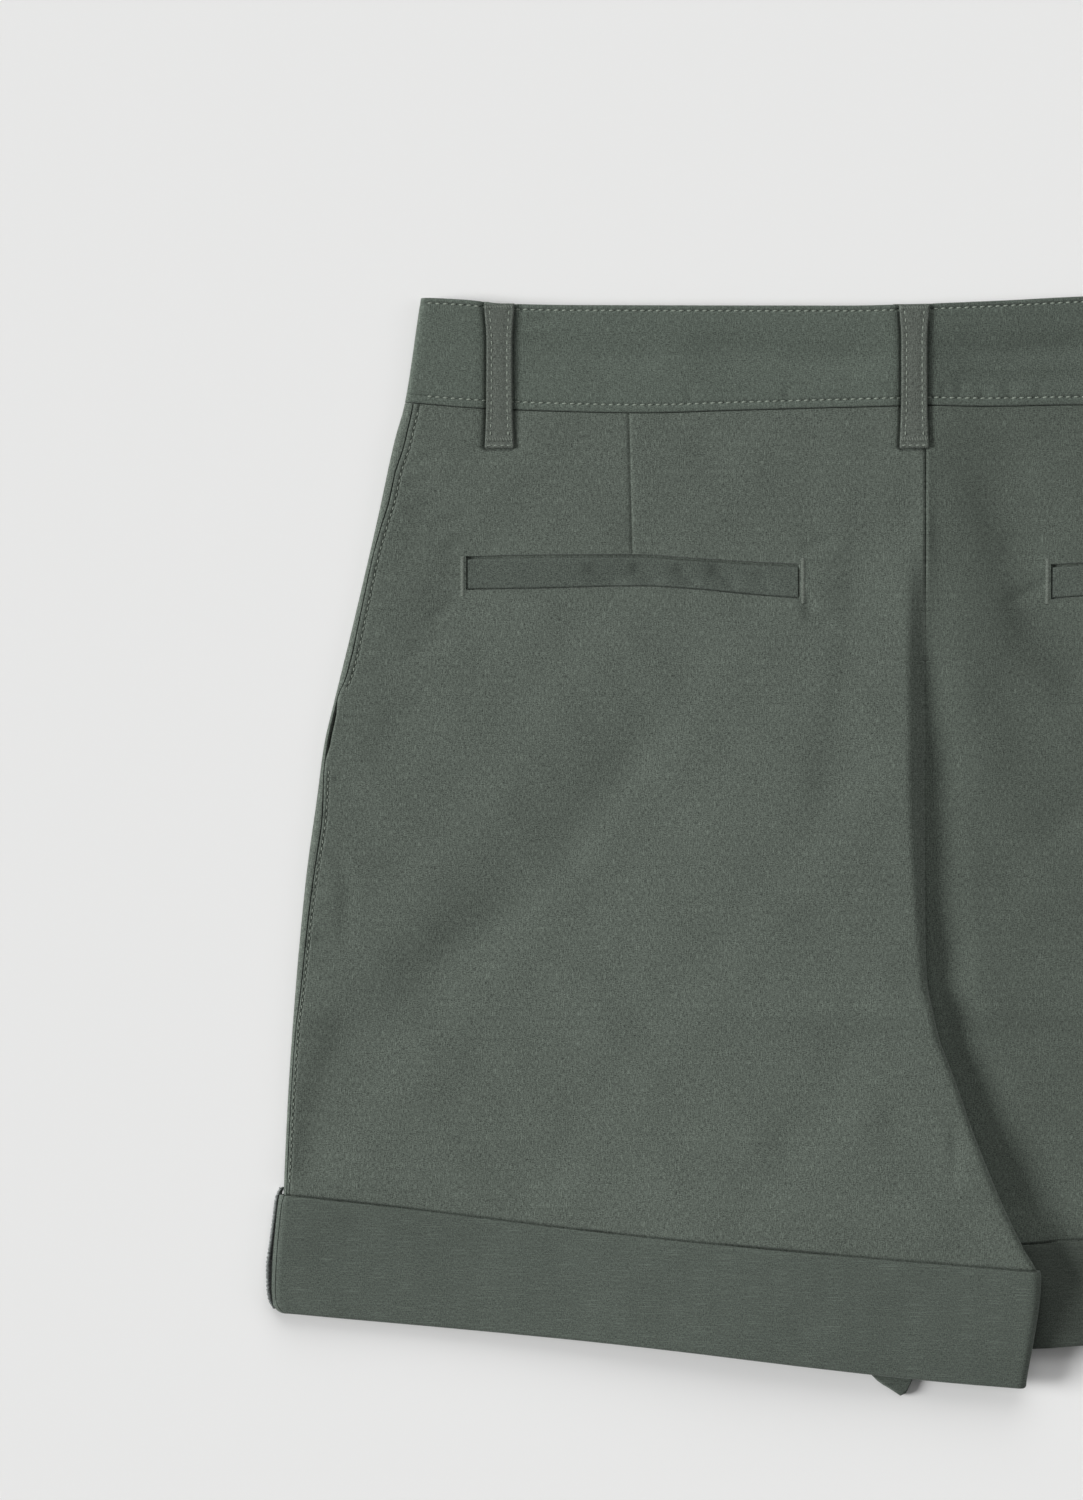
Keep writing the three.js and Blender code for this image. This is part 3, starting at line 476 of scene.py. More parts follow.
# Each crease: its path in out and down, its depth and its half width, and for some the factors of its inner
# and outer side's width, and the share of its length over which it fades. A ridge has a negative depth.
LEFT.creases = [
    ([(87, 139), (95, 158), (122, 197), (139, 221), (174, 242), (209, 273)], 1.6, 11, (3.2, 1)),
    ([(24, 58), (26, 110), (30, 148), (41, 197), (51, 225)], 0.8, 6, (2.2, 1.2)),
    ([(158, 76), (170, 92), (182, 110), (194, 136)], 1.3, 12, (2.5, 1)),
    ([(184, 142), (198, 158), (212, 174)], 0.7, 7, (2.5, 1)),
    ([(166.5, 77.6), (182, 82), (188, 88)], 0.4, 2.5),
    ([(46, 107), (43, 117), (32, 121.5)], 1.0, 2.1),
    ([(229, 207), (220.5, 206.6), (217, 216), (218, 246)], 0.6, 2.2),
    ([(216, 260), (222, 283), (229, 309), (233, 334)], 1.5, 7.5, (3, 1), 0.2),
    ([(96, 322), (62, 330), (28, 334), (2, 338)], 1.0, 6),
    ([(92, 312), (70, 314), (52, 312)], -0.5, 4.5),
    ([(176, 322), (150, 327), (128, 331)], 0.5, 5),
    *short_creases(
        (180, 56, 199, 61, 0.4, 2.2), (182, 64, 200, 70, 0.45, 2.2), (173, 90, 183, 91, 0.4, 1.8),
        (175, 110, 188, 120, 0.5, 2.5), (176, 122, 197, 133, 0.4, 2.5), (196, 80.5, 204, 79, 0.3, 1.4),
        (197, 90, 207, 88, 0.4, 1.6), (199, 101.5, 209, 99, 0.45, 1.7), (204, 111, 212, 109.5, 0.35, 1.5),
        (204, 121.5, 214, 118.5, 0.45, 1.8), (208, 130, 215, 129, 0.3, 1.4),
        (208, 141, 218, 137, 0.4, 1.8), (212, 183, 225, 177.5, 0.6, 2.4),
        (219, 192, 227, 190.5, 0.35, 1.5), (49, 92, 32, 87, 0.6, 1.9), (49, 98, 31, 99.5, 0.45, 1.8),
        (174, 93, 188, 87, 0.45, 2.0), (232, 220, 224, 219, 0.6, 1.8), (235, 240.4, 224, 239.3, 0.8, 1.8),
        (226, 229.5, 233, 229, 0.35, 1.4), (228, 252, 236, 251, 0.35, 1.5),
        (230, 263.5, 237, 262, 0.3, 1.4), (228, 277, 238, 275, 0.45, 1.8),
        (232, 289, 239, 288.5, 0.3, 1.4), (230, 305, 240, 302, 0.4, 1.8), (234, 318, 240, 318, 0.3, 1.5),
        (30, 306, 14, 304, -0.4, 4), (-11, 305, -10, 331, 0.5, 2.5),
    ),
]
RIGHT.creases = [
    ([(12, 42), (25, 66), (33, 96), (42, 122), (57, 138), (82, 147)], 2.5, 11, (1, 2.2), 0.22),
    ([(12, 96), (14, 126), (20, 160), (26, 196)], -1.1, 8, (1, 1.6)),
    ([(84, 178), (60, 190), (40, 199)], 0.9, 8),
    ([(118, 160), (150, 205), (180, 232), (212, 262)], 1.0, 10, (1, 2.4)),
    ([(184, 92), (198, 118), (206, 150)], 0.9, 8, (1, 2)),
    ([(222, 268), (229, 300), (234, 329)], 0.8, 6, (1, 1)),
    ([(60, 338), (90, 334), (125, 336)], 0.5, 5),
    ([(47, 336), (57, 366), (64, 400)], 2.1, 6.5, (1, 2)),
    ([(40, 334), (43, 366), (47, 402)], -1.2, 4.5),
    *short_creases(
        (28, 85, 47, 91, 0.6, 1.9), (27, 91, 46, 97, 0.45, 1.9), (29, 112, 47, 104, 0.6, 2.0),
        (180, 58, 198, 62, 0.4, 2.2), (168, 84, 184, 88, 0.5, 2.3), (175, 112, 190, 121, 0.4, 2.5),
        (204, 97, 211, 95.5, 0.4, 1.6), (207, 118, 214, 116, 0.4, 1.7), (214, 184, 226, 180, 0.5, 2.2),
        (233, 212, 223, 211, 0.5, 1.8), (236, 236, 225, 235, 0.6, 1.8), (231, 270, 238, 269, 0.4, 1.6),
    ),
]
# Of the front, which lies on the table: here a crease rises into the cloth.
LEFT.front_creases = [
    ([(44, 62), (52, 96), (56, 140)], 0.9, 6),
    ([(84, 120), (118, 166), (160, 205), (204, 236)], 1.2, 9),
    ([(178, 66), (192, 96), (202, 132)], 0.8, 7),
    ([(88, 236), (70, 276), (62, 318)], 0.8, 8),
    ([(206, 262), (216, 300), (222, 326)], 0.6, 6),
]
RIGHT.front_creases = [
    ([(36, 66), (40, 110), (30, 150)], 0.9, 6),
    ([(70, 140), (112, 178), (148, 222), (196, 256)], 1.1, 10),
    ([(186, 60), (194, 92), (208, 126)], 0.8, 7),
    ([(52, 214), (78, 262), (86, 310)], 0.8, 8),
    ([(200, 276), (214, 312), (218, 330)], 0.6, 6),
]
LEFT.band_creases = [
    ([(3, 20), (25, 20.5), (47, 20), (74, 17), (98, 15)], 1.7, 6, (1, 1)),
    ([(152, 13), (122, 19), (92, 21)], 1.0, 4.5),
    *short_creases(
        (153, 6.4, 137, 5, 0.5, 1.8), (152, 12.4, 143, 15, 0.4, 2), (88, 29, 88.5, 38, 0.3, 1.6),
        (52, 29, 51.5, 38, 0.3, 1.6), (120, 30, 120.5, 38, 0.25, 1.5),
    ),
]
RIGHT.band_creases = [
    ([(-2, 15), (31, 18), (76, 15)], 1.8, 5.5),
    ([(0, 26), (34, 28), (74, 25)], 1.1, 4),
    *short_creases(
        (7, 28, 7.5, 37, 0.4, 1.6), (13, 27, 13, 37, 0.5, 1.8), (22, 29, 21.5, 37, 0.4, 1.6),
        (31, 28, 32, 37, 0.5, 1.8), (43, 29, 42.5, 37, 0.4, 1.7), (100, 15, 135, 18, 0.5, 4),
    ),
]
LEFT.welt_creases = short_creases(
    (130, 97, 112, 106, 0.9, 2.6), (112, 97, 98, 105, 1.0, 2.4), (95, 97, 85, 106, 0.8, 2.2),
    (82, 97, 69, 106, 1.0, 2.4), (64, 99, 58, 106, 0.4, 2.0), (140, 102, 60, 104, 0.35, 3.0),
)
RIGHT.welt_creases = short_creases(
    (114, 97, 98, 105, 1.0, 2.4), (88, 97, 75, 106, 0.7, 2.3), (150, 102, 70, 103, 0.3, 3.0),
)
RIGHT.cuff_creases = [([(47, 345), (52, 358), (57, 372)], 0.9, 2.6)]
LEFT.cuff_creases = short_creases((-25, 366, -41, 367, 0.12, 0.8))

# Out, and how much of its depth the groove above the turn-up has.
groove_share = curve([
    (-36, 1.0), (28, 0.8), (44, 1.7), (62, 1.8), (84, 0.9), (112, 0.8), (122, 1.5), (134, 0.8),
    (190, 0.7), (206, 1.3), (240, 1.0),
])


def placed(grid, side):
    """A grid of out, down and height in millimetres as places in the frame, in metres."""
    return np.stack([side * grid[..., 0], WAIST_Y - grid[..., 1], grid[..., 2]], -1) / 1000


def normals_of(grid, facing, start=None, end=None):
    """Unit normals of a grid, with a rule of their own at the ends of its rows."""
    across = np.gradient(grid, axis=1)
    along = np.gradient(grid, axis=0)
    normal = np.cross(across, along) * facing
    if start is not None:
        normal[:, 0] = start
    if end is not None:
        normal[:, -1] = end
    return normal / np.linalg.norm(normal, axis=2, keepdims=True)


SHARP_ANGLE = 0.9                   # radians between faces from which an edge is sharp


def mesh_of(name, form):
    mesh = bpy.data.meshes.new(name)
    form.to_mesh(mesh)
    form.free()
    return mesh


def linked(name, data):
    made = bpy.data.objects.new(name, data)
    bpy.context.scene.collection.objects.link(made)
    return made


def settle(form, vert_key):
    """Gives points and faces a fixed order, because the one that bmesh makes can differ between runs."""
    for parts, key in (form.verts, vert_key), (form.faces, lambda face: sorted(v.index for v in face.verts)):
        for i, part in enumerate(sorted(parts, key=key)):
            part.index = i
        parts.sort()


def cloth_shell(name, outer, inner, side, material, slot, node):
    """A closed wall of cloth between two grids of the same size, which stands for a solid."""
    rows, columns = outer.shape[:2]
    form = bmesh.new()
    bmesh.ops.create_grid(form, x_segments=columns - 1, y_segments=rows - 1, size=1)
    # Copies made by the extrusion aren't in the grid's order, so each vertex carries its number.
    number = form.verts.layers.int.new("number")
    for k, vert in enumerate(form.verts):
        vert[number] = k
    copied = bmesh.ops.extrude_face_region(form, geom=form.faces[:], use_keep_orig=True)["geom"]
    for vert in copied:
        if isinstance(vert, bmesh.types.BMVert):
            vert[number] += rows * columns
    settle(form, lambda vert: vert[number])
    places = np.concatenate([placed(outer, side).reshape(-1, 3), placed(inner, side).reshape(-1, 3)])
    for vert, place in zip(form.verts, places):
        vert.co = place
    bmesh.ops.recalc_face_normals(form, faces=form.faces[:])
    if form.calc_volume(signed=True) < 0:
        bmesh.ops.reverse_faces(form, faces=form.faces[:])
    for face in form.faces:
        face.smooth = True
    for edge in form.edges:
        edge.smooth = edge.calc_face_angle(0) < SHARP_ANGLE
    mesh = mesh_of(name, form)
    weave = mesh.uv_layers.new(name="Weave")
    corners = np.empty(len(mesh.loops), int)
    mesh.loops.foreach_get("vertex_index", corners)
    grain = np.concatenate([outer[..., :2].reshape(-1, 2), inner[..., :2].reshape(-1, 2)])
    weave.data.foreach_set("uv", grain[corners].astype(np.float32).ravel())
    return dressed(name, mesh, material, slot, node)


def dressed(name, mesh, material, slot, *nodes):
    """A finished piece in the scene, riding on the shorts."""
    mesh.materials.append(material)
    piece = linked(name, mesh)
    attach(piece, "root")
    if nodes:
        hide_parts(*nodes)
    return piece


def grid_lines(counts, after, before):
    """Lines over knots: even steps between each pair, and closer lines after and before the knots."""
    lines = []
    for k, count in enumerate(counts):
        lines += [(k, 0, offset) for offset in (0, *after[k])]
        lines += [(k, i / count, 0) for i in range(1, count)]
        lines += [(k, 1, -offset) for offset in reversed(before[k])]
    return np.array([*lines, (len(counts) - 1, 1, 0)], float)


def along_lines(knots, lines, axis):
    k = lines[:, 0].astype(int)
    n = np.arange(len(k))
    values = np.moveaxis(knots, axis + 1, 0)
    placed_lines = lerp(values[n, k], values[n, k + 1], lines[:, 1:2]) + lines[:, 2:3]
    return np.moveaxis(placed_lines, 0, axis)


def crossings(column_knots, columns, row_knots, rows):
    """Out and down of each point where a row meets a column."""
    out = np.full((len(rows), len(columns)), 100.0)      # a first guess, which each round improves
    down = np.full(out.shape, 200.0)
    for _ in range(7):
        down = along_lines(np.array([knot(out) for knot in row_knots]), rows, 0)
        out = along_lines(np.array([knot(down) for knot in column_knots]), columns, 1)
    return out, down


def grid_of(out, down, height):
    return np.stack([out, down, height + np.zeros(np.shape(out))], -1)


def slit_gap(down):
    return SLIT_WIDTH * ramp(down, SLIT_TOP, SLIT_TOP + SLIT_TAPER) * ramp(SLIT_END - down, 0, SLIT_TAPER)


def steady(value):
    return lambda place: value + 0 * place


def side_normal(half, down):
    out = side_at(down) - seam_inset(down)
    rise = half.top_face(out + 0.1, down) - half.top_face(out - 0.1, down)
    return np.stack([-rise, 0 * rise, 0.2 + 0 * rise], -1)


def inner_normal(down, facing):
    closed = leg_closed(down)
    return np.stack([-closed, 0 * closed, facing * (1 - closed) + 1e-6 * facing], -1)


def pocket_share(out, down):
    """How much of the pocket's depth the panel has at a place, round and below the welt."""
    ends = ramp(out, POCKET_IN - 0.7, POCKET_IN - 0.4) * (1 - ramp(out, POCKET_OUT + 0.4, POCKET_OUT + 0.7))
    top, bottom = welt_top(out), welt_bottom(out)
    return ends * ramp(down, top - 0.95, top - 0.7) * (1 - ramp(down, bottom + 0.2, bottom + 0.45))


def dart_groove(out, down):
    off = out - curve([(40, DART_OUT), (DART_END, DART_END_OUT)])(down)
    return groove(off, DART_GROOVE) * (1 - ramp(down, DART_END - 2, DART_END))


def cuff_groove(half, out, down):
    """The panel dips where the edge of the turn-up presses on it."""
    return groove_share(out) * groove(down - half.cuff_top(out) + 0.15, CUFF_GROOVE)


def side_groove(distance, down):
    """The topstitching pulls the panel in beside the side seam."""
    by_slit = ramp(down, SLIT_TOP - SLIT_CLEAR, SLIT_TOP) * ramp(SLIT_END + SLIT_CLEAR - down, 0, SLIT_CLEAR)
    return groove(distance - side_stitch(down), SIDE_ROW_GROOVE) * (1 - by_slit)


CUFF_TURNS = np.radians(np.linspace(15, 180, 12))
CUFF_SIDE_SPREAD = 30               # from the side in, over which the turn-up widens
CORNER_ROWS = 7                     # of the grid above the fold, over which the loose corner drops
CUFF_EDGE_ROUND = 0.4


def cuff_faces(half, panel, normal, hem_rows, detail, corner):
    """Outer and inner face of a turn-up, over the rows of the panel that it covers."""
    cover = panel[hem_rows:]
    cover_normal = normal[hem_rows:]
    centre = cover[-1] + cover_normal[-1] * HALF_GAP
    run = cover[-1] - cover[-3]
    run = run - cover_normal[-1] * np.sum(run * cover_normal[-1], -1, keepdims=True)
    run /= np.linalg.norm(run, axis=-1, keepdims=True)
    lip_end = CUFF_FOLD - CUFF_LIP - (corner_drop(centre[:, :1]) if corner else 0)
    faces = []
    for radius in (CUFF_FOLD, CUFF_FOLD - CLOTH):
        rows = list(cover + cover_normal * (HALF_GAP + radius))
        rows += [centre + cover_normal[-1] * radius * math.cos(turn) + run * radius * math.sin(turn)
                 for turn in CUFF_TURNS]
        rows += [centre - cover_normal[-1] * radius + run * reach for reach in (-HIDDEN_CUFF_REACH, lip_end)]
        face = np.array(rows)
        side = side_at(face[..., 1])
        reach = cuff_side(face[..., 1]) - side
        face[..., 0] += reach * ramp(face[..., 0], side - CUFF_SIDE_SPREAD, side - 1)
        if corner:
            start = len(cover) - 1 - CORNER_ROWS
            share = np.clip((np.arange(len(face)) - start) / CORNER_ROWS, 0, 1)[:, None]
            face[..., 1] += corner_drop(face[..., 0]) * share
        faces.append(face)
    outer, inner = faces
    if detail:
        sunk = creased(half.cuff_creases, outer[..., 0], outer[..., 1])
        outer[..., 2] -= sunk
        inner[..., 2] -= sunk
        outer[..., 2] -= rolled(np.linalg.norm(outer - outer[:1], axis=-1), CUFF_EDGE_ROUND)
    return outer, inner


def hem_knots(half):
    """Rows of a panel's grid at the turn-up's top edge, at the end of its hidden lip, and at its fold."""
    return [
        half.cuff_top,
        lambda out: half.hem(out) - CUFF_LIP - SEAM_GAP,
        lambda out: half.hem(out) - CUFF_FOLD,
    ]


def panel_and_turn_up(half, piece, node, cloths, faces, turn_up_faces):
    """Both pieces of cloth of one panel. The panel ends at the turn-up's hidden lip, two rows short."""
    upto = len(faces[0]) - 2
    shell = cloth_shell(f"{piece}_{half.name}", *(face[:upto] for face in faces), half.side, cloths[0],
                        "body_cloth", f"{node}_panel_{half.name}")
    turn_up = cloth_shell(f"turn_up_{node}_{half.name}", *turn_up_faces, half.side, cloths[1],
                          "cuff_cloth", f"cuff_{node}_{half.name}")
    return shell, turn_up


def make_back(half, cloth, turn_up_cloth):
    def seam(down):
        return side_at(down) - seam_inset(down) - HALF_GAP - slit_gap(down)

    def beside_centre_loop(down):
        return half.inner_edge(down) + LOOPS["centre"] + loop_width(down) / 2

    side_loop = abs(LOOPS[half.name])
    column_knots = [
        half.inner_edge,
        beside_centre_loop,
        curve([(37, POCKET_IN), (112, POCKET_IN), (364, 24)]),
        curve([(37, DART_OUT), (DART_END, DART_END_OUT), (364, 117)]),
        loop_edge(side_loop, -1),
        loop_edge(side_loop, 1),
        curve([(37, 170), (60, POCKET_OUT), (112, POCKET_OUT), (364, 196)]),
        lambda down: seam(down) - 5,
        seam,
    ]
    columns = grid_lines(
        [6, 27, 42, 29, 6, 3, 20, 1],
        after=[(0.12, 0.35, 0.7, 1.1), BY_LOOP, (0.4,), (0.25, 0.6), BY_LOOP, BY_LOOP, (0.4, 0.7), ()],
        before=[BY_LOOP, (0.4, 0.7), (0.25, 0.6), BY_LOOP, BY_LOOP, (0.4,), (),
                (0.12, 0.3, 0.6, 0.9, 1.2, 1.5, 1.8, 2.1, 2.4, 2.8, 3.4, 4.2)],
    )
    row_knots = [
        lambda out: half.band_seam(out) + HALF_GAP,
        steady(LOOP_END),
        welt_top,
        welt_bottom,
        *hem_knots(half),
    ]
    rows = grid_lines(
        [11, 27, 9, 155, 30, 2],
        after=[(0.2, 0.6), (0.2, 0.4, 0.65, 1.0), (0.3,), (0.2, 0.45), (), ()],
        before=[(0.4,), (0.7, 0.95), (), (0.15, 0.35, 0.6, 0.9, 1.3), (), ()],
    )
    out, down = crossings(column_knots, columns, row_knots, rows)
    smooth = half.top_face(out, down)
    side_distance = seam(down) - out
    height = smooth - dart_groove(out, down) - cuff_groove(half, out, down)
    height = height - side_groove(side_distance, down) - groove(side_distance, SIDE_SEAM_GROOVE)
    centre_groove = groove(out - half.inner_edge(down), CENTRE_SEAM_GROOVE) * (1 - ramp(down, *SEAM_CLOSES))
    smooth_grid = grid_of(out, down, smooth)
    normal = normals_of(smooth_grid, 1, inner_normal(down[:, 0], 1), side_normal(half, down[:, -1]))
    pocket = pocket_share(out, down)
    outer = grid_of(out, down, height - centre_groove - pocket * POCKET_DEPTH)
    inner = smooth_grid - normal * CLOTH
    inner[..., 2] -= pocket * POCKET_DEPTH_INSIDE
    cuff_start = int(np.argmax(rows[:, 0] == row_knots.index(half.cuff_top)))
    cuff = cuff_faces(half, smooth_grid, normal, cuff_start, True, False)
    return panel_and_turn_up(half, "seat", "back", (cloth, turn_up_cloth), (outer, inner), cuff)


FRONT_FOLD_ROOM = 6                 # from the front's flat part to the start of its side fold
SIDE_TURNS = np.radians([[-90, -78, -66, -54, -42, -30, -18, -6, 6, 16, 25.0]])
SIDE_LIP_SHARES = np.array([[0.3, 0.6, 0.85, 1.0]])


def make_front(half):
    def flat_end(down):
        return side_at(down) - SIDE_FOLD - FRONT_FOLD_ROOM

    column_knots = [
        half.inner_edge,
        lambda down: half.inner_edge(down) + 60,
        flat_end,
        lambda down: flat_end(down) + FRONT_FOLD_ROOM,
    ]
    flat_lines = grid_lines([28, 30, 3], after=[(0.12, 0.35, 0.7, 1.2), (), ()], before=[(), (), ()])
    row_knots = [lambda out: half.band_seam(out) + HALF_GAP, *hem_knots(half)]
    rows = grid_lines([150, 16, 2], after=[(), (), ()], before=[(), (), ()])
    out, down = crossings(column_knots, flat_lines, row_knots, rows)
    flat = grid_of(out, down, half.under_face(out, down))[:, :-1]
    side_down = down[:, -1:]
    for _ in range(4):
        side_down = along_lines(np.array([knot(side_at(side_down)) for knot in row_knots]), rows, 0)
    side = side_at(side_down)
    middle = half.fold_middle(side - SIDE_FOLD, side_down)
    low = middle - half.open_under(side - SIDE_FOLD, side_down)
    high = half.open_top(side - SIDE_FOLD, side_down) - middle
    inset = SIDE_FOLD * (1 - np.cos(SIDE_TURNS))
    round_height = middle + np.where(SIDE_TURNS < 0, low, high) * np.sin(SIDE_TURNS)
    round_grid = grid_of(side - inset, side_down + 0 * SIDE_TURNS, round_height)
    lip_out = side - lerp(inset[:, -1:], seam_inset(side_down) - HALF_GAP, SIDE_LIP_SHARES)
    lip_down = side_down + 0 * SIDE_LIP_SHARES
    lip = grid_of(lip_out, lip_down, half.top_face(lip_out, lip_down))
    outer = np.concatenate([flat, round_grid, lip], 1)
    normal = normals_of(outer, -1, inner_normal(outer[:, 0, 1], -1), side_normal(half, outer[:, -1, 1]))
    inner = outer - normal * CLOTH
    cuff_start = int(np.argmax(rows[:, 0] == row_knots.index(half.cuff_top)))
    cuff = cuff_faces(half, outer, normal, cuff_start, False, half is RIGHT)
    return panel_and_turn_up(half, "front", "front", (CHINO, TURN_UP), (outer, inner), cuff)


BEAD = 0.54                         # radius of the serged edge's round, and of the hollow in it
BEAD_HOLLOW = 0.22
BEAD_LEG_DROP = 2.4                 # for each radian past the half circle
BEAD_LEAST_HEIGHT = 0.25


def make_allowance(half):
    """The serged edge of the side seam, which stands up beside the turned-up cuff."""
    row_downs = np.linspace(ALLOWANCE_ROWS[0][0], ALLOWANCE_ROWS[-1][0], 80)[:, None]
    turns = np.radians(np.linspace(-70, 250, 21))[None, :]
    uneven = 0.10 * np.sin(row_downs * 4.1) + 0.07 * np.sin(row_downs * 7.3)
    edge = curve(ALLOWANCE_ROWS)(row_downs) - 0.1 + uneven
    top = 6.0 - 2.4 * (1 - ramp(row_downs, 331, 337)) - 3.0 * ramp(row_downs, 372, 378)
    fall = np.where(turns < 0, -turns, 0) + np.where(turns > math.pi, turns - math.pi, 0)
    under = 0.85 * ramp(turns, 3.7, 4.36)
    walls = []
    for radius in (BEAD, BEAD_HOLLOW):
        out = edge - BEAD + radius * np.cos(np.clip(turns, 0, math.pi)) - under
        height = top - BEAD + radius * np.sin(np.clip(turns, 0, math.pi)) - BEAD_LEG_DROP * fall
        least = BEAD_LEAST_HEIGHT + (BEAD - radius)
        walls.append(grid_of(out, row_downs + 0 * out, np.maximum(height, least)))
    return cloth_shell(f"cuff_allowance_{half.name}", *walls, half.side, SERGED, "serged_edge",
                       f"cuff_seam_{half.name}")


BY_LOOP = (0.2, 0.4, 0.65, 0.95)    # distances from a loop's edge at which grid lines run


def loop_edge(centre, side):
    return lambda down: centre + side * loop_width(down) / 2


def band_rows(half):
    """Rows of a band's grid: close ones round both rows of stitches, and even ones between them."""
    knots = [half.waist, lambda out: half.band_seam(out) - HALF_GAP]
    lines = grid_lines([1], after=[(0.15, 0.4, 0.8, 1.2, 1.6, 1.9, 2.1, 2.3, 2.6, 3.2)],
                       before=[(0.12, 0.3, 0.6, 1.1, 1.8, 2.4, 2.75, 3.0, 3.25, 3.6, 4.2)])
    spread = np.array([(0, share, 0) for share in np.linspace(0.12, 0.86, 26)])
    lines = np.concatenate([lines[:11], spread, lines[11:]])
    return knots, lines


def make_waistband():
    parts = []
    for half in (LEFT, RIGHT):
        knots, rows = band_rows(half)
        # The centre loop hardly reaches the right half, so the first knot there is a plain step out.
        middle = 0.3 if half is RIGHT else LOOPS["centre"]
        side_loop = abs(LOOPS[half.name])
        loop_edges = [loop_edge(middle, 1), loop_edge(side_loop, -1), loop_edge(side_loop, 1)]
        column_knots = [steady(0.0), *loop_edges, lambda down: side_at(down) - 5, side_at]
        columns = grid_lines([6, 118, 7, 20, 3], after=[(), BY_LOOP, BY_LOOP, BY_LOOP, ()],
                             before=[(), BY_LOOP, BY_LOOP, (), (0.1, 0.3, 0.6, 1.0, 1.5)])
        out, down = crossings(column_knots, columns, knots, rows)
        from_top, from_seam = down - half.waist(out), half.band_seam(out) - HALF_GAP - down
        top_row = groove(from_top - BAND_TOP_ROW, BAND_ROW_GROOVE)
        low_row = groove(from_seam - BAND_LOW_ROW, BAND_ROW_GROOVE)
        rim = rolled(from_top, 0.8) + rolled(from_seam, 0.5) + (top_row + low_row)
        parts.append((grid_of(out, down, half.band_top(out, down) - rim), rim))
    left, right = parts[0][0][:, ::-1], parts[1][0]
    seam_line = (left[:, -1] + right[:, 0]) / 2
    right = right * np.array([-1, 1, 1])
    outer = np.concatenate([left[:, :-1], seam_line[:, None], right[:, 1:]], 1)
    smooth = outer.copy()
    smooth[..., 2] += np.concatenate([parts[0][1][:, ::-1], parts[1][1][:, 1:]], 1)
    normal = normals_of(smooth, -1)
    normal[:, 0], normal[:, -1] = (1, 0, 0), (-1, 0, 0)
    return cloth_shell("waistband_seat", outer, smooth - normal * BAND, -1, BAND_CHINO, "band_cloth",
                       "waistband_back")


def make_front_band(half, end):
    knots, rows = band_rows(half)
    column_knots = [side_at, lambda down: side_at(down) - 18, steady(end)]
    columns = grid_lines([8, 70], after=[(-0.3, -1.0), ()], before=[(), ()])
    out, down = crossings(column_knots, columns, knots, rows)
    grid = grid_of(out, down, half.band_under(out, down))
    normal = normals_of(grid, 1, start=np.array([1.0, 0, 0]))
    inner = grid - normal * BAND
    return cloth_shell(f"waistband_front_piece_{half.name}", grid, inner, half.side, BAND_CHINO, "band_cloth",
                       f"waistband_front_{half.name}")


LOOP_BOW = 0.3                      # by which a loop stands off the band half way


def loop_height(centre, out, down):
    """Height of a back loop's upper face, where out is counted to the left."""
    heights = []
    for half in (LEFT, RIGHT):
        seam = half.band_seam(abs(centre))
        above = np.minimum(down, seam)
        on_band = half.band_top(np.abs(out), above) + loop_press(out, above)
        on_panel = half.open_top(np.abs(out), down) + loop_press(out, down)
        rest = lerp(on_band, on_panel, ramp(down, seam + 1, seam + 4))
        bow = LOOP_BOW * np.sin(math.pi * np.clip(down / seam, 0, 1))
        heights.append(rest + HALF_GAP + bow + LOOP_CLOTH)
    return np.where(out >= 0, *heights)


LOOP_SHARES = [0.5, 0.485, 0.46, 0.42, 0.35, 0.28, 0.18, 0.09, 0]


def make_loop(name, centre):
    half = LEFT if centre >= 0 else RIGHT
    start = float(half.waist(abs(centre))) + 0.2
    downs = np.array([
        start, start + 0.15, start + 0.4, start + 0.9, *np.linspace(start + 1.6, LOOP_END - 1.2, 52),
        LOOP_END - 0.8, LOOP_END - 0.4, LOOP_END - 0.15, LOOP_END,
    ])[:, None]
    shares = np.array([LOOP_SHARES + [-share for share in reversed(LOOP_SHARES[:-1])]])
    width = loop_width(downs)
    out = centre + shares * width
    down = downs + 0 * shares
    height = loop_height(centre, out, down)
    from_side = (0.5 - np.abs(shares)) * width
    edge = rolled(from_side, 0.5) + rolled(LOOP_END - down, 0.5) + rolled(down - start, 0.5)
    stitched = groove(from_side - LOOP_ROW, LOOP_ROW_GROOVE) + groove(down - TACK_DOWN, TACK_GROOVE)
    stitched = stitched + groove(down - LOOP_END + 1.9, LOOP_END_GROOVE)
    outer = grid_of(out, down, height - edge - stitched)
    inner = grid_of(out, down, height - LOOP_CLOTH)
    return cloth_shell(f"loop_{name}", outer, inner, -1, CHINO_FINE, "body_cloth", f"belt_loop_back_{name}")


def make_front_loop(half):
    start = float(half.waist(FRONT_LOOP_OUT)) + 0.2
    down = np.linspace(start, LOOP_END, 30)[:, None] + np.zeros((1, 9))
    out = FRONT_LOOP_OUT + np.linspace(-0.5, 0.5, 9)[None, :] * FRONT_LOOP_WIDTH + 0 * down
    from_side = FRONT_LOOP_WIDTH / 2 - np.abs(out - FRONT_LOOP_OUT)
    low = grid_of(out, down, rolled(from_side, 0.3))
    high = grid_of(out, down, FRONT_LOOP)
    return cloth_shell(f"loop_front_{half.name}", low, high, half.side, CHINO_FINE, "body_cloth",
                       f"belt_loop_front_{half.name}")


WELT_SHARES = [0, 0.012, 0.035, 0.07, 0.13, 0.21, 0.3, 0.4, 0.5, 0.6, 0.7, 0.8, 0.88, 0.94, 0.98, 1]


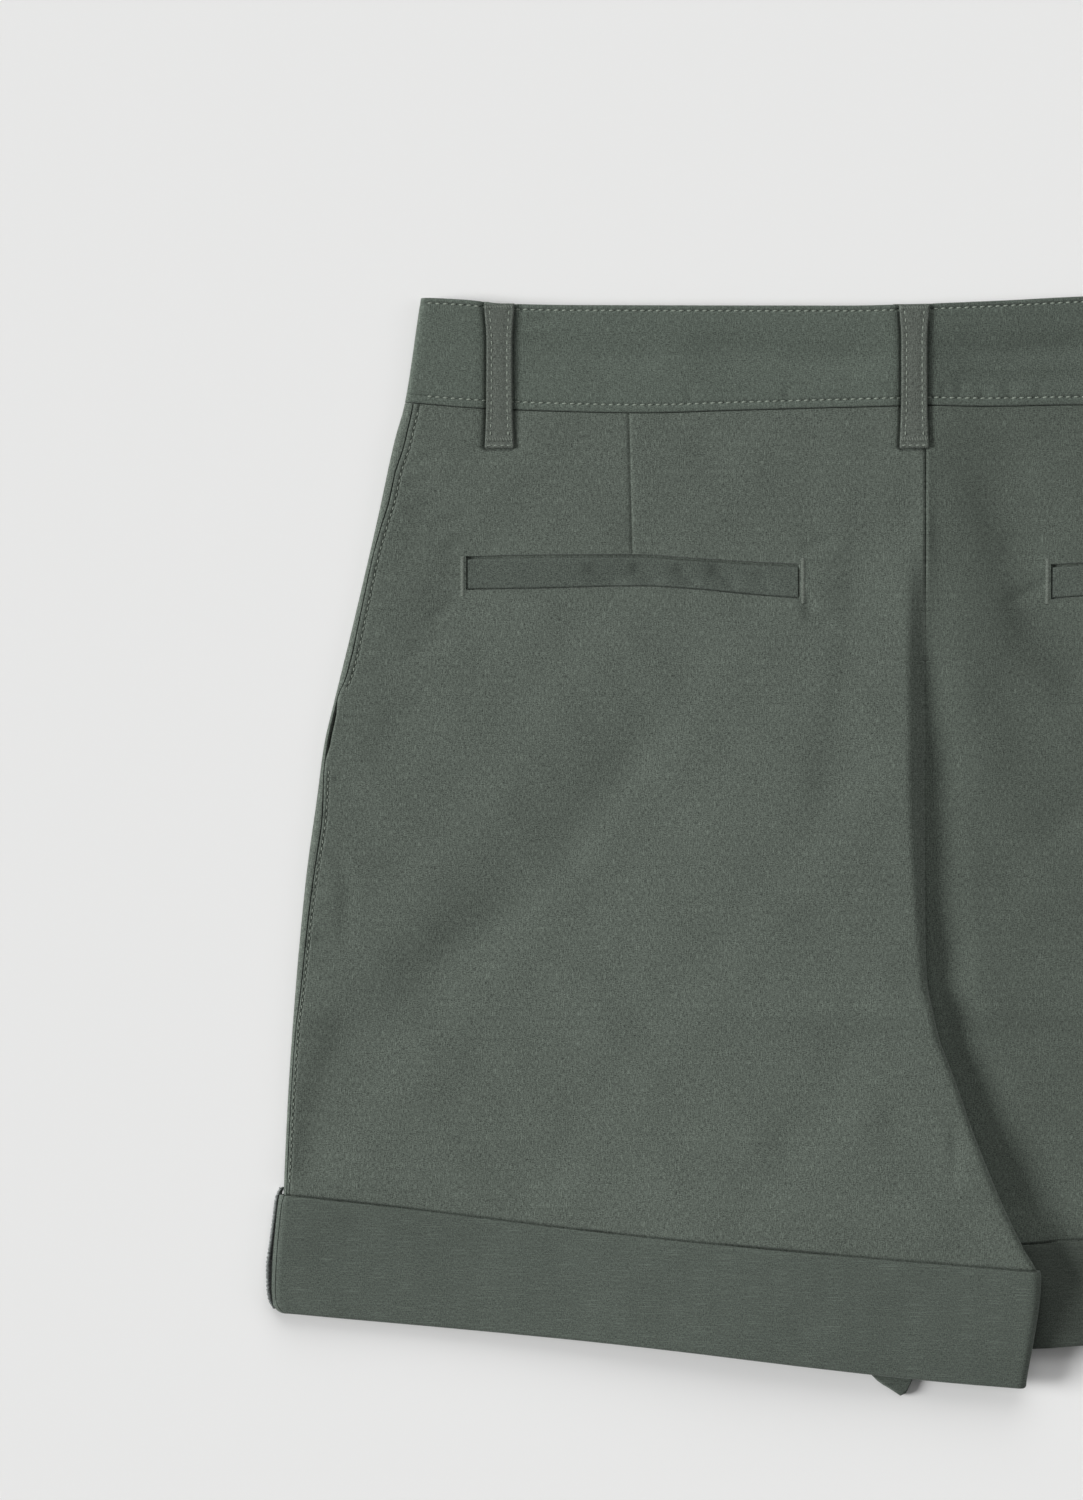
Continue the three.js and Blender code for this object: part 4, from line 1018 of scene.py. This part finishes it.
def make_welt(half):
    out = np.array([[
        POCKET_IN + 0.1, POCKET_IN + 0.3, *np.linspace(POCKET_IN + 0.8, POCKET_OUT - 0.8, 96),
        POCKET_OUT - 0.3, POCKET_OUT - 0.1,
    ]])
    shares = np.array(WELT_SHARES)[:, None]
    down = lerp(welt_top(out) + WELT_GAP, welt_bottom(out) - WELT_LOW_GAP, shares)
    out = out + 0 * shares
    height = half.open_top(out, down) + 0.1 - creased(half.welt_creases, out, down)
    edge = rolled(down - welt_top(out) - WELT_GAP, 0.9) + rolled(welt_bottom(out) - WELT_LOW_GAP - down, 0.35)
    outer = grid_of(out, down, height - edge * 0.8)
    inner = grid_of(out, down, height - WELT_WALL)
    # The welt's darker twill is painted shade.
    return cloth_shell(f"welt_{half.name}", outer, inner, half.side, WELT_PAINTED_SHADE, "body_cloth",
                       f"pocket_welt_{half.name}")


def upright(direction):
    """The way up from the table, made square to a direction."""
    up = Vector((0, 0, 1))
    return (up - direction * up.dot(direction)).normalized()


def stitch(form, middle, axes, sizes):
    """One stitch: an oval with its own axes. The middle is in metres and the half sizes in millimetres."""
    place = Matrix.Translation(middle) @ Matrix(axes).transposed().to_4x4() @ Matrix.Diagonal((*sizes, 1))
    bmesh.ops.create_uvsphere(form, u_segments=6, v_segments=4, radius=0.001, matrix=place)


def evenly(line, pitch):
    """Points and directions at an even pitch along a dense line of places, in metres."""
    steps = np.linalg.norm(np.diff(line, axis=0), axis=1)
    run = np.concatenate([[0], np.cumsum(steps)])
    count = int(run[-1] / pitch)
    stops = (np.arange(count) + 0.5) * run[-1] / count

    def along(places):
        return np.stack([np.interp(places, run, line[:, k]) for k in range(3)], -1)

    return along(stops), along(stops + pitch / 3) - along(stops - pitch / 3)


def sew(form, line, pitch=2.7, length=2.1, thickness=0.42, tilt=0.06):
    """Topstitches along a dense line of places in metres, every second one turned a little more."""
    for i, (place, direction) in enumerate(zip(*evenly(line, pitch / 1000))):
        direction = Vector(direction).normalized()
        up = upright(direction)
        across = up.cross(direction)
        direction = (direction + across * tilt * (1 if i % 2 else 0.4)).normalized()
        axes = (direction, up.cross(direction).normalized(), up)
        stitch(form, place, axes, (length / 2, thickness / 2, thickness * 0.4))


def satin(form, starts, ends, thickness=0.36):
    """Close stitches of a bar tack, each from a start to an end, in metres."""
    for i, (start, end) in enumerate(zip(starts, ends)):
        start, end = Vector(start), Vector(end)
        direction = (end - start).normalized()
        up = upright(direction)
        uneven = 1 + 0.12 * math.sin(i * 2.3)
        half_length = (end - start).length * 500 * uneven
        axes = (direction, up.cross(direction), up)
        stitch(form, (start + end) / 2, axes, (half_length, thickness / 2, thickness / 2))


def thread_piece(name, sewing, material):
    form = bmesh.new()
    sewing(form)
    settle(form, lambda vert: vert.co[:])
    for face in form.faces:
        face.smooth = True
    return dressed(name, mesh_of(name, form), material, "serged_edge")


def surface_line(half, out, down, height):
    return placed(grid_of(np.asarray(out, float), np.asarray(down, float), height), half.side)


def band_stitching(form):
    for half in (LEFT, RIGHT):
        out = np.linspace(0.5, 187.5, 500)
        for down in (half.waist(out) + BAND_TOP_ROW, half.band_seam(out) - BAND_LOW_ROW - HALF_GAP):
            reach = np.minimum(out, side_at(down) - 0.8)
            line = surface_line(half, reach, down, half.band_top(reach, down) - BAND_ROW_SINK)
            sew(form, line, pitch=2.9, length=2.05, thickness=0.68)


def side_stitching(form):
    for half in (LEFT, RIGHT):
        for first, last in ((39.5, 145), (174, 330)):
            down = np.linspace(first, last, 300)
            out = side_at(down) - seam_inset(down) - side_stitch(down)
            line = surface_line(half, out, down, half.top_face(out, down) - SIDE_ROW_SINK)
            sew(form, line, pitch=2.6, length=1.6, thickness=0.5)


def loop_line(centre, out, down, above):
    """Places on a back loop's upper face, or above it."""
    return placed(grid_of(out, down, loop_height(centre, out, down) + above), -1)


def loop_stitching(form):
    for centre in LOOPS.values():
        for side in (-1, 1):
            down = np.linspace(1.5, 49.5, 160)
            out = centre + side * (loop_width(down) / 2 - LOOP_ROW)
            sew(form, loop_line(centre, out, down, -LOOP_ROW_SINK), pitch=2.7, length=1.8, thickness=0.6)


TACK_SLANT = (-0.0003, 0, 0)        # in metres, from a tack stitch's start to its end


def loop_tacks(form):
    for centre in LOOPS.values():
        half = LEFT if centre >= 0 else RIGHT
        for start_down, length in ((TACK_DOWN + 0.4, 1.9), (float(half.waist(abs(centre))) + 0.9, 1.4)):
            out = np.linspace(centre - 4.8, centre + 4.8, 17)
            ends = loop_line(centre, out, start_down + length + 0 * out, 0.02)
            satin(form, loop_line(centre, out, start_down + 0 * out, 0.02), ends + TACK_SLANT)
        out = np.linspace(centre - 5.0, centre + 5.0, 40)
        line = loop_line(centre, out, LOOP_END - TACK_ROW + 0 * out, -0.05)
        sew(form, line, pitch=2.1, length=2.0, thickness=0.6)


def pocket_tacks(form):
    for half in (LEFT, RIGHT):
        for centre_out, first, last in ((POCKET_OUT + 1.9, 94.2, 108.6), (POCKET_IN - 1.9, 95.0, 111.6)):
            down = np.linspace(first, last, 36)
            height = half.open_top(centre_out + 0 * down, down) + 0.12
            starts = surface_line(half, centre_out - 0.85 + 0 * down, down, height)
            satin(form, starts, surface_line(half, centre_out + 0.85 + 0 * down, down + 0.2, height))


# Materials


class Graph:
    """A material's nodes, joined as they are made."""

    def __init__(self, name):
        self.material = bpy.data.materials.new(name)
        self.material.use_nodes = True
        self.tree = self.material.node_tree
        self.tree.nodes.clear()

    def node(self, kind, links=None, **settings):
        made = self.tree.nodes.new(kind)
        for key, value in settings.items():
            setattr(made, key, value)
        for socket, value in (links or {}).items():
            if isinstance(value, bpy.types.NodeSocket):
                self.tree.links.new(value, made.inputs[socket])
            else:
                made.inputs[socket].default_value = value
        return made

    def noise(self, place, stretch, detail=2.0, roughness=0.5):
        """Noise whose grain has the given number of spots to a millimetre across and along the cloth."""
        mapping = self.node("ShaderNodeMapping", {"Vector": place, "Scale": (*stretch, 1.0)})
        made = self.node("ShaderNodeTexNoise", {
            "Vector": mapping.outputs["Vector"], "Scale": 1.0, "Detail": detail, "Roughness": roughness,
        })
        return made.outputs[0]

    def math(self, operation, a, b=0.0, c=0.0):
        return self.node("ShaderNodeMath", {0: a, 1: b, 2: c}, operation=operation).outputs[0]

    def ramp(self, value, stops):
        made = self.node("ShaderNodeValToRGB", {"Fac": value})
        while len(made.color_ramp.elements) < len(stops):
            made.color_ramp.elements.new(0.5)
        for element, (place, colour) in zip(made.color_ramp.elements, stops):
            element.position = place
            element.color = (*colour, 1.0)
        return made.outputs["Color"]

    def finish(self, colour, height, roughness, bump, distance, sheen):
        normal = self.node("ShaderNodeBump", {"Height": height, "Strength": bump, "Distance": distance})
        shader = self.node("ShaderNodeBsdfPrincipled", {
            "Base Color": colour, "Roughness": roughness, "Normal": normal.outputs["Normal"],
            "Specular IOR Level": 0.25, "Sheen Weight": sheen, "Sheen Roughness": 0.55,
            "Sheen Tint": (0.86, 0.92, 0.86, 1.0),
        })
        self.node("ShaderNodeOutputMaterial", {"Surface": shader.outputs["BSDF"]})
        return self.material


def shades(colour, spread):
    """Dark, middle and light of a yarn-dyed colour."""
    return [tuple(channel * factor for channel in colour) for factor in (1 - spread, 1.0, 1 + spread)]


def woven(name, colour, spread, warp, weft, slub, slub_share, bump):
    """Cotton twill: uneven warp and weft, sparse light slubs, and the diagonal rib of the weave."""
    graph = Graph(name)
    place = graph.node("ShaderNodeUVMap", uv_map="Weave").outputs["UV"]
    warp_streaks = graph.noise(place, warp, detail=1.0)
    weft_streaks = graph.noise(place, weft, detail=1.0)
    specks = graph.noise(place, (2.6, 2.6), detail=1.0)
    mottle = graph.noise(place, (0.09, 0.05))
    turned = graph.node("ShaderNodeMapping", {"Vector": place, "Rotation": (0, 0, math.radians(58))})
    rib = graph.node("ShaderNodeTexWave", {
        "Vector": turned.outputs["Vector"], "Scale": 0.62, "Distortion": 1.2,
        "Detail": 1.0, "Detail Scale": 2.0,
    }).outputs["Fac"]
    streaks = graph.math("ADD", warp_streaks, weft_streaks)
    grain = graph.math("MULTIPLY_ADD", specks, 0.44, graph.math("MULTIPLY", streaks, 0.28))
    mixed = graph.math("MULTIPLY_ADD", mottle, 0.035, graph.math("MULTIPLY", grain, 0.965))
    slubs = graph.math("MAXIMUM", graph.math("SUBTRACT", graph.noise(place, slub, detail=0.0), 0.60))
    tufted = graph.math("MULTIPLY_ADD", slubs, slub_share, mixed)
    dark, middle, light = shades(colour, spread)
    tone = graph.ramp(tufted, [(0.34, dark), (0.5, middle), (0.66, light)])
    height = graph.math("MULTIPLY_ADD", rib, 0.35, graph.math("MULTIPLY", grain, 1.2))
    return graph.finish(tone, height, 0.92, bump, 0.00022, 0.12)


def threads(name, colour):
    graph = Graph(name)
    place = graph.node("ShaderNodeTexCoord").outputs["Object"]
    twist = graph.noise(place, (1800, 1800), detail=1.0)
    dark, middle, light = shades(colour, 0.22)
    tone = graph.ramp(twist, [(0.3, dark), (0.5, middle), (0.7, light)])
    return graph.finish(tone, twist, 0.7, 0.5, 0.0001, 0.2)


def resin(name):
    graph = Graph(name)
    place = graph.node("ShaderNodeTexCoord").outputs["Object"]
    cloud = graph.noise(place, (160, 160))
    tone = graph.ramp(cloud, [(0.35, (0.045, 0.05, 0.044)), (0.65, (0.075, 0.082, 0.072))])
    return graph.finish(tone, cloud, 0.38, 0.05, 0.0002, 0.0)


WIDE = {"warp": (2.6, 0.6), "weft": (0.9, 2.4), "slub": (3.2, 0.28), "slub_share": 0.5, "bump": 0.25}
NARROW = {**WIDE, "warp": (2.6, 0.8), "slub": (3.2, 0.4)}
BANDED = {**WIDE, "warp": (2.6, 0.7), "bump": 0.3}
OTHER_FACE = {"warp": (2.6, 1.0), "weft": (0.7, 2.8), "slub": (0.10, 4.2), "slub_share": 0.7, "bump": 0.35}
OTHER_FACE_ACROSS = {**OTHER_FACE, "slub_share": 0.8}
SERGED_EDGE = {"warp": (0.8, 0.8), "weft": (0.8, 2.2), "slub": (0.6, 2.4), "slub_share": 0.8, "bump": 0.7}

# Darker copies of the twill are painted shade and painted shadow, for the shade that falls on the right half
# and in the welts.
CHINO = woven("chino_twill", (0.0850, 0.1012, 0.0853), 0.80, **WIDE)
# A darker copy of the chino for the right half's seat: painted shade.
CHINO_PAINTED_SHADE = woven("chino_twill_painted_shade", (0.0720, 0.0865, 0.0723), 0.75, **WIDE)
CHINO_FINE = woven("chino_twill_narrow", (0.0840, 0.0960, 0.0825), 0.75, **NARROW)
# The welts are darker than the panels: painted shade, for the shade in their wrinkles.
WELT_PAINTED_SHADE = woven("welt_twill_painted_shade", (0.0668, 0.0805, 0.0682), 0.75, **NARROW)
BAND_CHINO = woven("waistband_twill", (0.0825, 0.1008, 0.0842), 0.75, **BANDED)
# A darker copy of the band twill for the waistband's right part: painted shade.
BAND_PAINTED_SHADE = woven("waistband_twill_painted_shade", (0.0696, 0.0850, 0.0711), 0.75, **BANDED)
TURN_UP = woven("twill_other_face", (0.0738, 0.0890, 0.0753), 0.60, **OTHER_FACE)
# The right back turn-up is much darker: painted shadow, where the left leg's cuff shades it.
TURN_UP_PAINTED_SHADOW = woven("twill_other_face_painted_shadow", (0.0450, 0.0540, 0.0450), 0.60, **OTHER_FACE_ACROSS)
SERGED = woven("serged_cloth", (0.165, 0.178, 0.174), 0.9, **SERGED_EDGE)
THREAD = threads("sewing_thread", (0.205, 0.235, 0.198))
TACK_THREAD = threads("tack_thread", (0.178, 0.202, 0.174))

seat_left, turn_up_left = make_back(LEFT, CHINO, TURN_UP)
# The right seat gets painted shade, and its turn-up painted shadow, through darker copies of their twills.
seat_right, turn_up_right = make_back(RIGHT, CHINO_PAINTED_SHADE, TURN_UP_PAINTED_SHADOW)
front_left, turn_under_left = make_front(LEFT)
front_right, turn_under_right = make_front(RIGHT)
allowances = [make_allowance(LEFT), make_allowance(RIGHT)]
waistband = make_waistband()
front_bands = [make_front_band(LEFT, TAB_END + HALF_GAP), make_front_band(RIGHT, -TAB_END + HALF_GAP)]
loops = [make_loop(name, centre) for name, centre in LOOPS.items()]
front_loops = [make_front_loop(LEFT), make_front_loop(RIGHT)]
# The waistband's right part gets the darker copy of its twill: painted shade.
waistband.data.materials.append(BAND_PAINTED_SHADE)
for face in waistband.data.polygons:
    if face.center.x > -LOOPS["centre"] / 1000:
        face.material_index = 1
welts = [make_welt(LEFT), make_welt(RIGHT)]

band_seams = thread_piece("waistband_topstitching", band_stitching, THREAD)
side_seams = thread_piece("side_topstitching", side_stitching, THREAD)
thread_piece("loop_topstitching", loop_stitching, THREAD)
thread_piece("loop_bar_tacks", loop_tacks, TACK_THREAD)
thread_piece("pocket_bar_tacks", pocket_tacks, TACK_THREAD)

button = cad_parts["waist_button"]
button.data.materials.clear()
button.data.materials.append(resin("button_resin"))


# Table, light and camera

floor_form = bmesh.new()
bmesh.ops.create_grid(floor_form, x_segments=4, y_segments=4, size=6)
bmesh.ops.translate(floor_form, verts=floor_form.verts[:], vec=(0, 0, -0.0003))
floor_mesh = mesh_of("table_top", floor_form)
linked("table_top", floor_mesh)
paper = Graph("pale_table")
paper_shade = paper.node("ShaderNodeBsdfPrincipled", {
    "Base Color": (0.80, 0.80, 0.795, 1.0), "Roughness": 0.9, "Specular IOR Level": 0.1,
})
paper.node("ShaderNodeOutputMaterial", {"Surface": paper_shade.outputs["BSDF"]})
floor_mesh.materials.append(paper.material)


def softbox(name, azimuth, elevation, spread, share):
    """A far softbox, which gives its share of the light that falls on the table. Angles are in degrees."""
    light = bpy.data.lights.new(name, "SUN")
    light.angle = math.radians(spread)
    light.energy = share * math.pi / math.sin(math.radians(elevation))
    lamp = linked(name, light)
    turn, rise = math.radians(azimuth), math.radians(elevation)
    toward = Vector((math.cos(turn) * math.cos(rise), math.sin(turn) * math.cos(rise), math.sin(rise)))
    lamp.location = toward * 3
    lamp.rotation_euler = toward.to_track_quat("Z", "Y").to_euler()


softbox("left_softbox", 180, 25, 24, 0.53)
softbox("top_softbox", 92, 36, 50, 0.25)
softbox("right_softbox", 10, 33, 40, 0.06)
softbox("overhead_softbox", 90, 80, 40, 0.05)

world = bpy.data.worlds.new("studio_air")
world.use_nodes = True
sky = world.node_tree.nodes["Background"]
sky.inputs["Color"].default_value = (1.0, 1.0, 1.0, 1.0)
sky.inputs["Strength"].default_value = 0.11
bpy.context.scene.world = world
bpy.context.scene.view_settings.view_transform = "Standard"

VIEW_CENTRE = (-144.2, 35.1)
VIEW_HEIGHT = 562.5
LENS = 100.0
SENSOR = 36.0
camera_data = bpy.data.cameras.new("overhead_camera")
camera_data.lens = LENS
camera_data.sensor_width = SENSOR
camera_data.clip_end = 50
camera = linked("overhead_camera", camera_data)
camera.location = (VIEW_CENTRE[0] / 1000, VIEW_CENTRE[1] / 1000, VIEW_HEIGHT / 1000 * LENS / SENSOR + 0.008)
bpy.context.scene.camera = camera
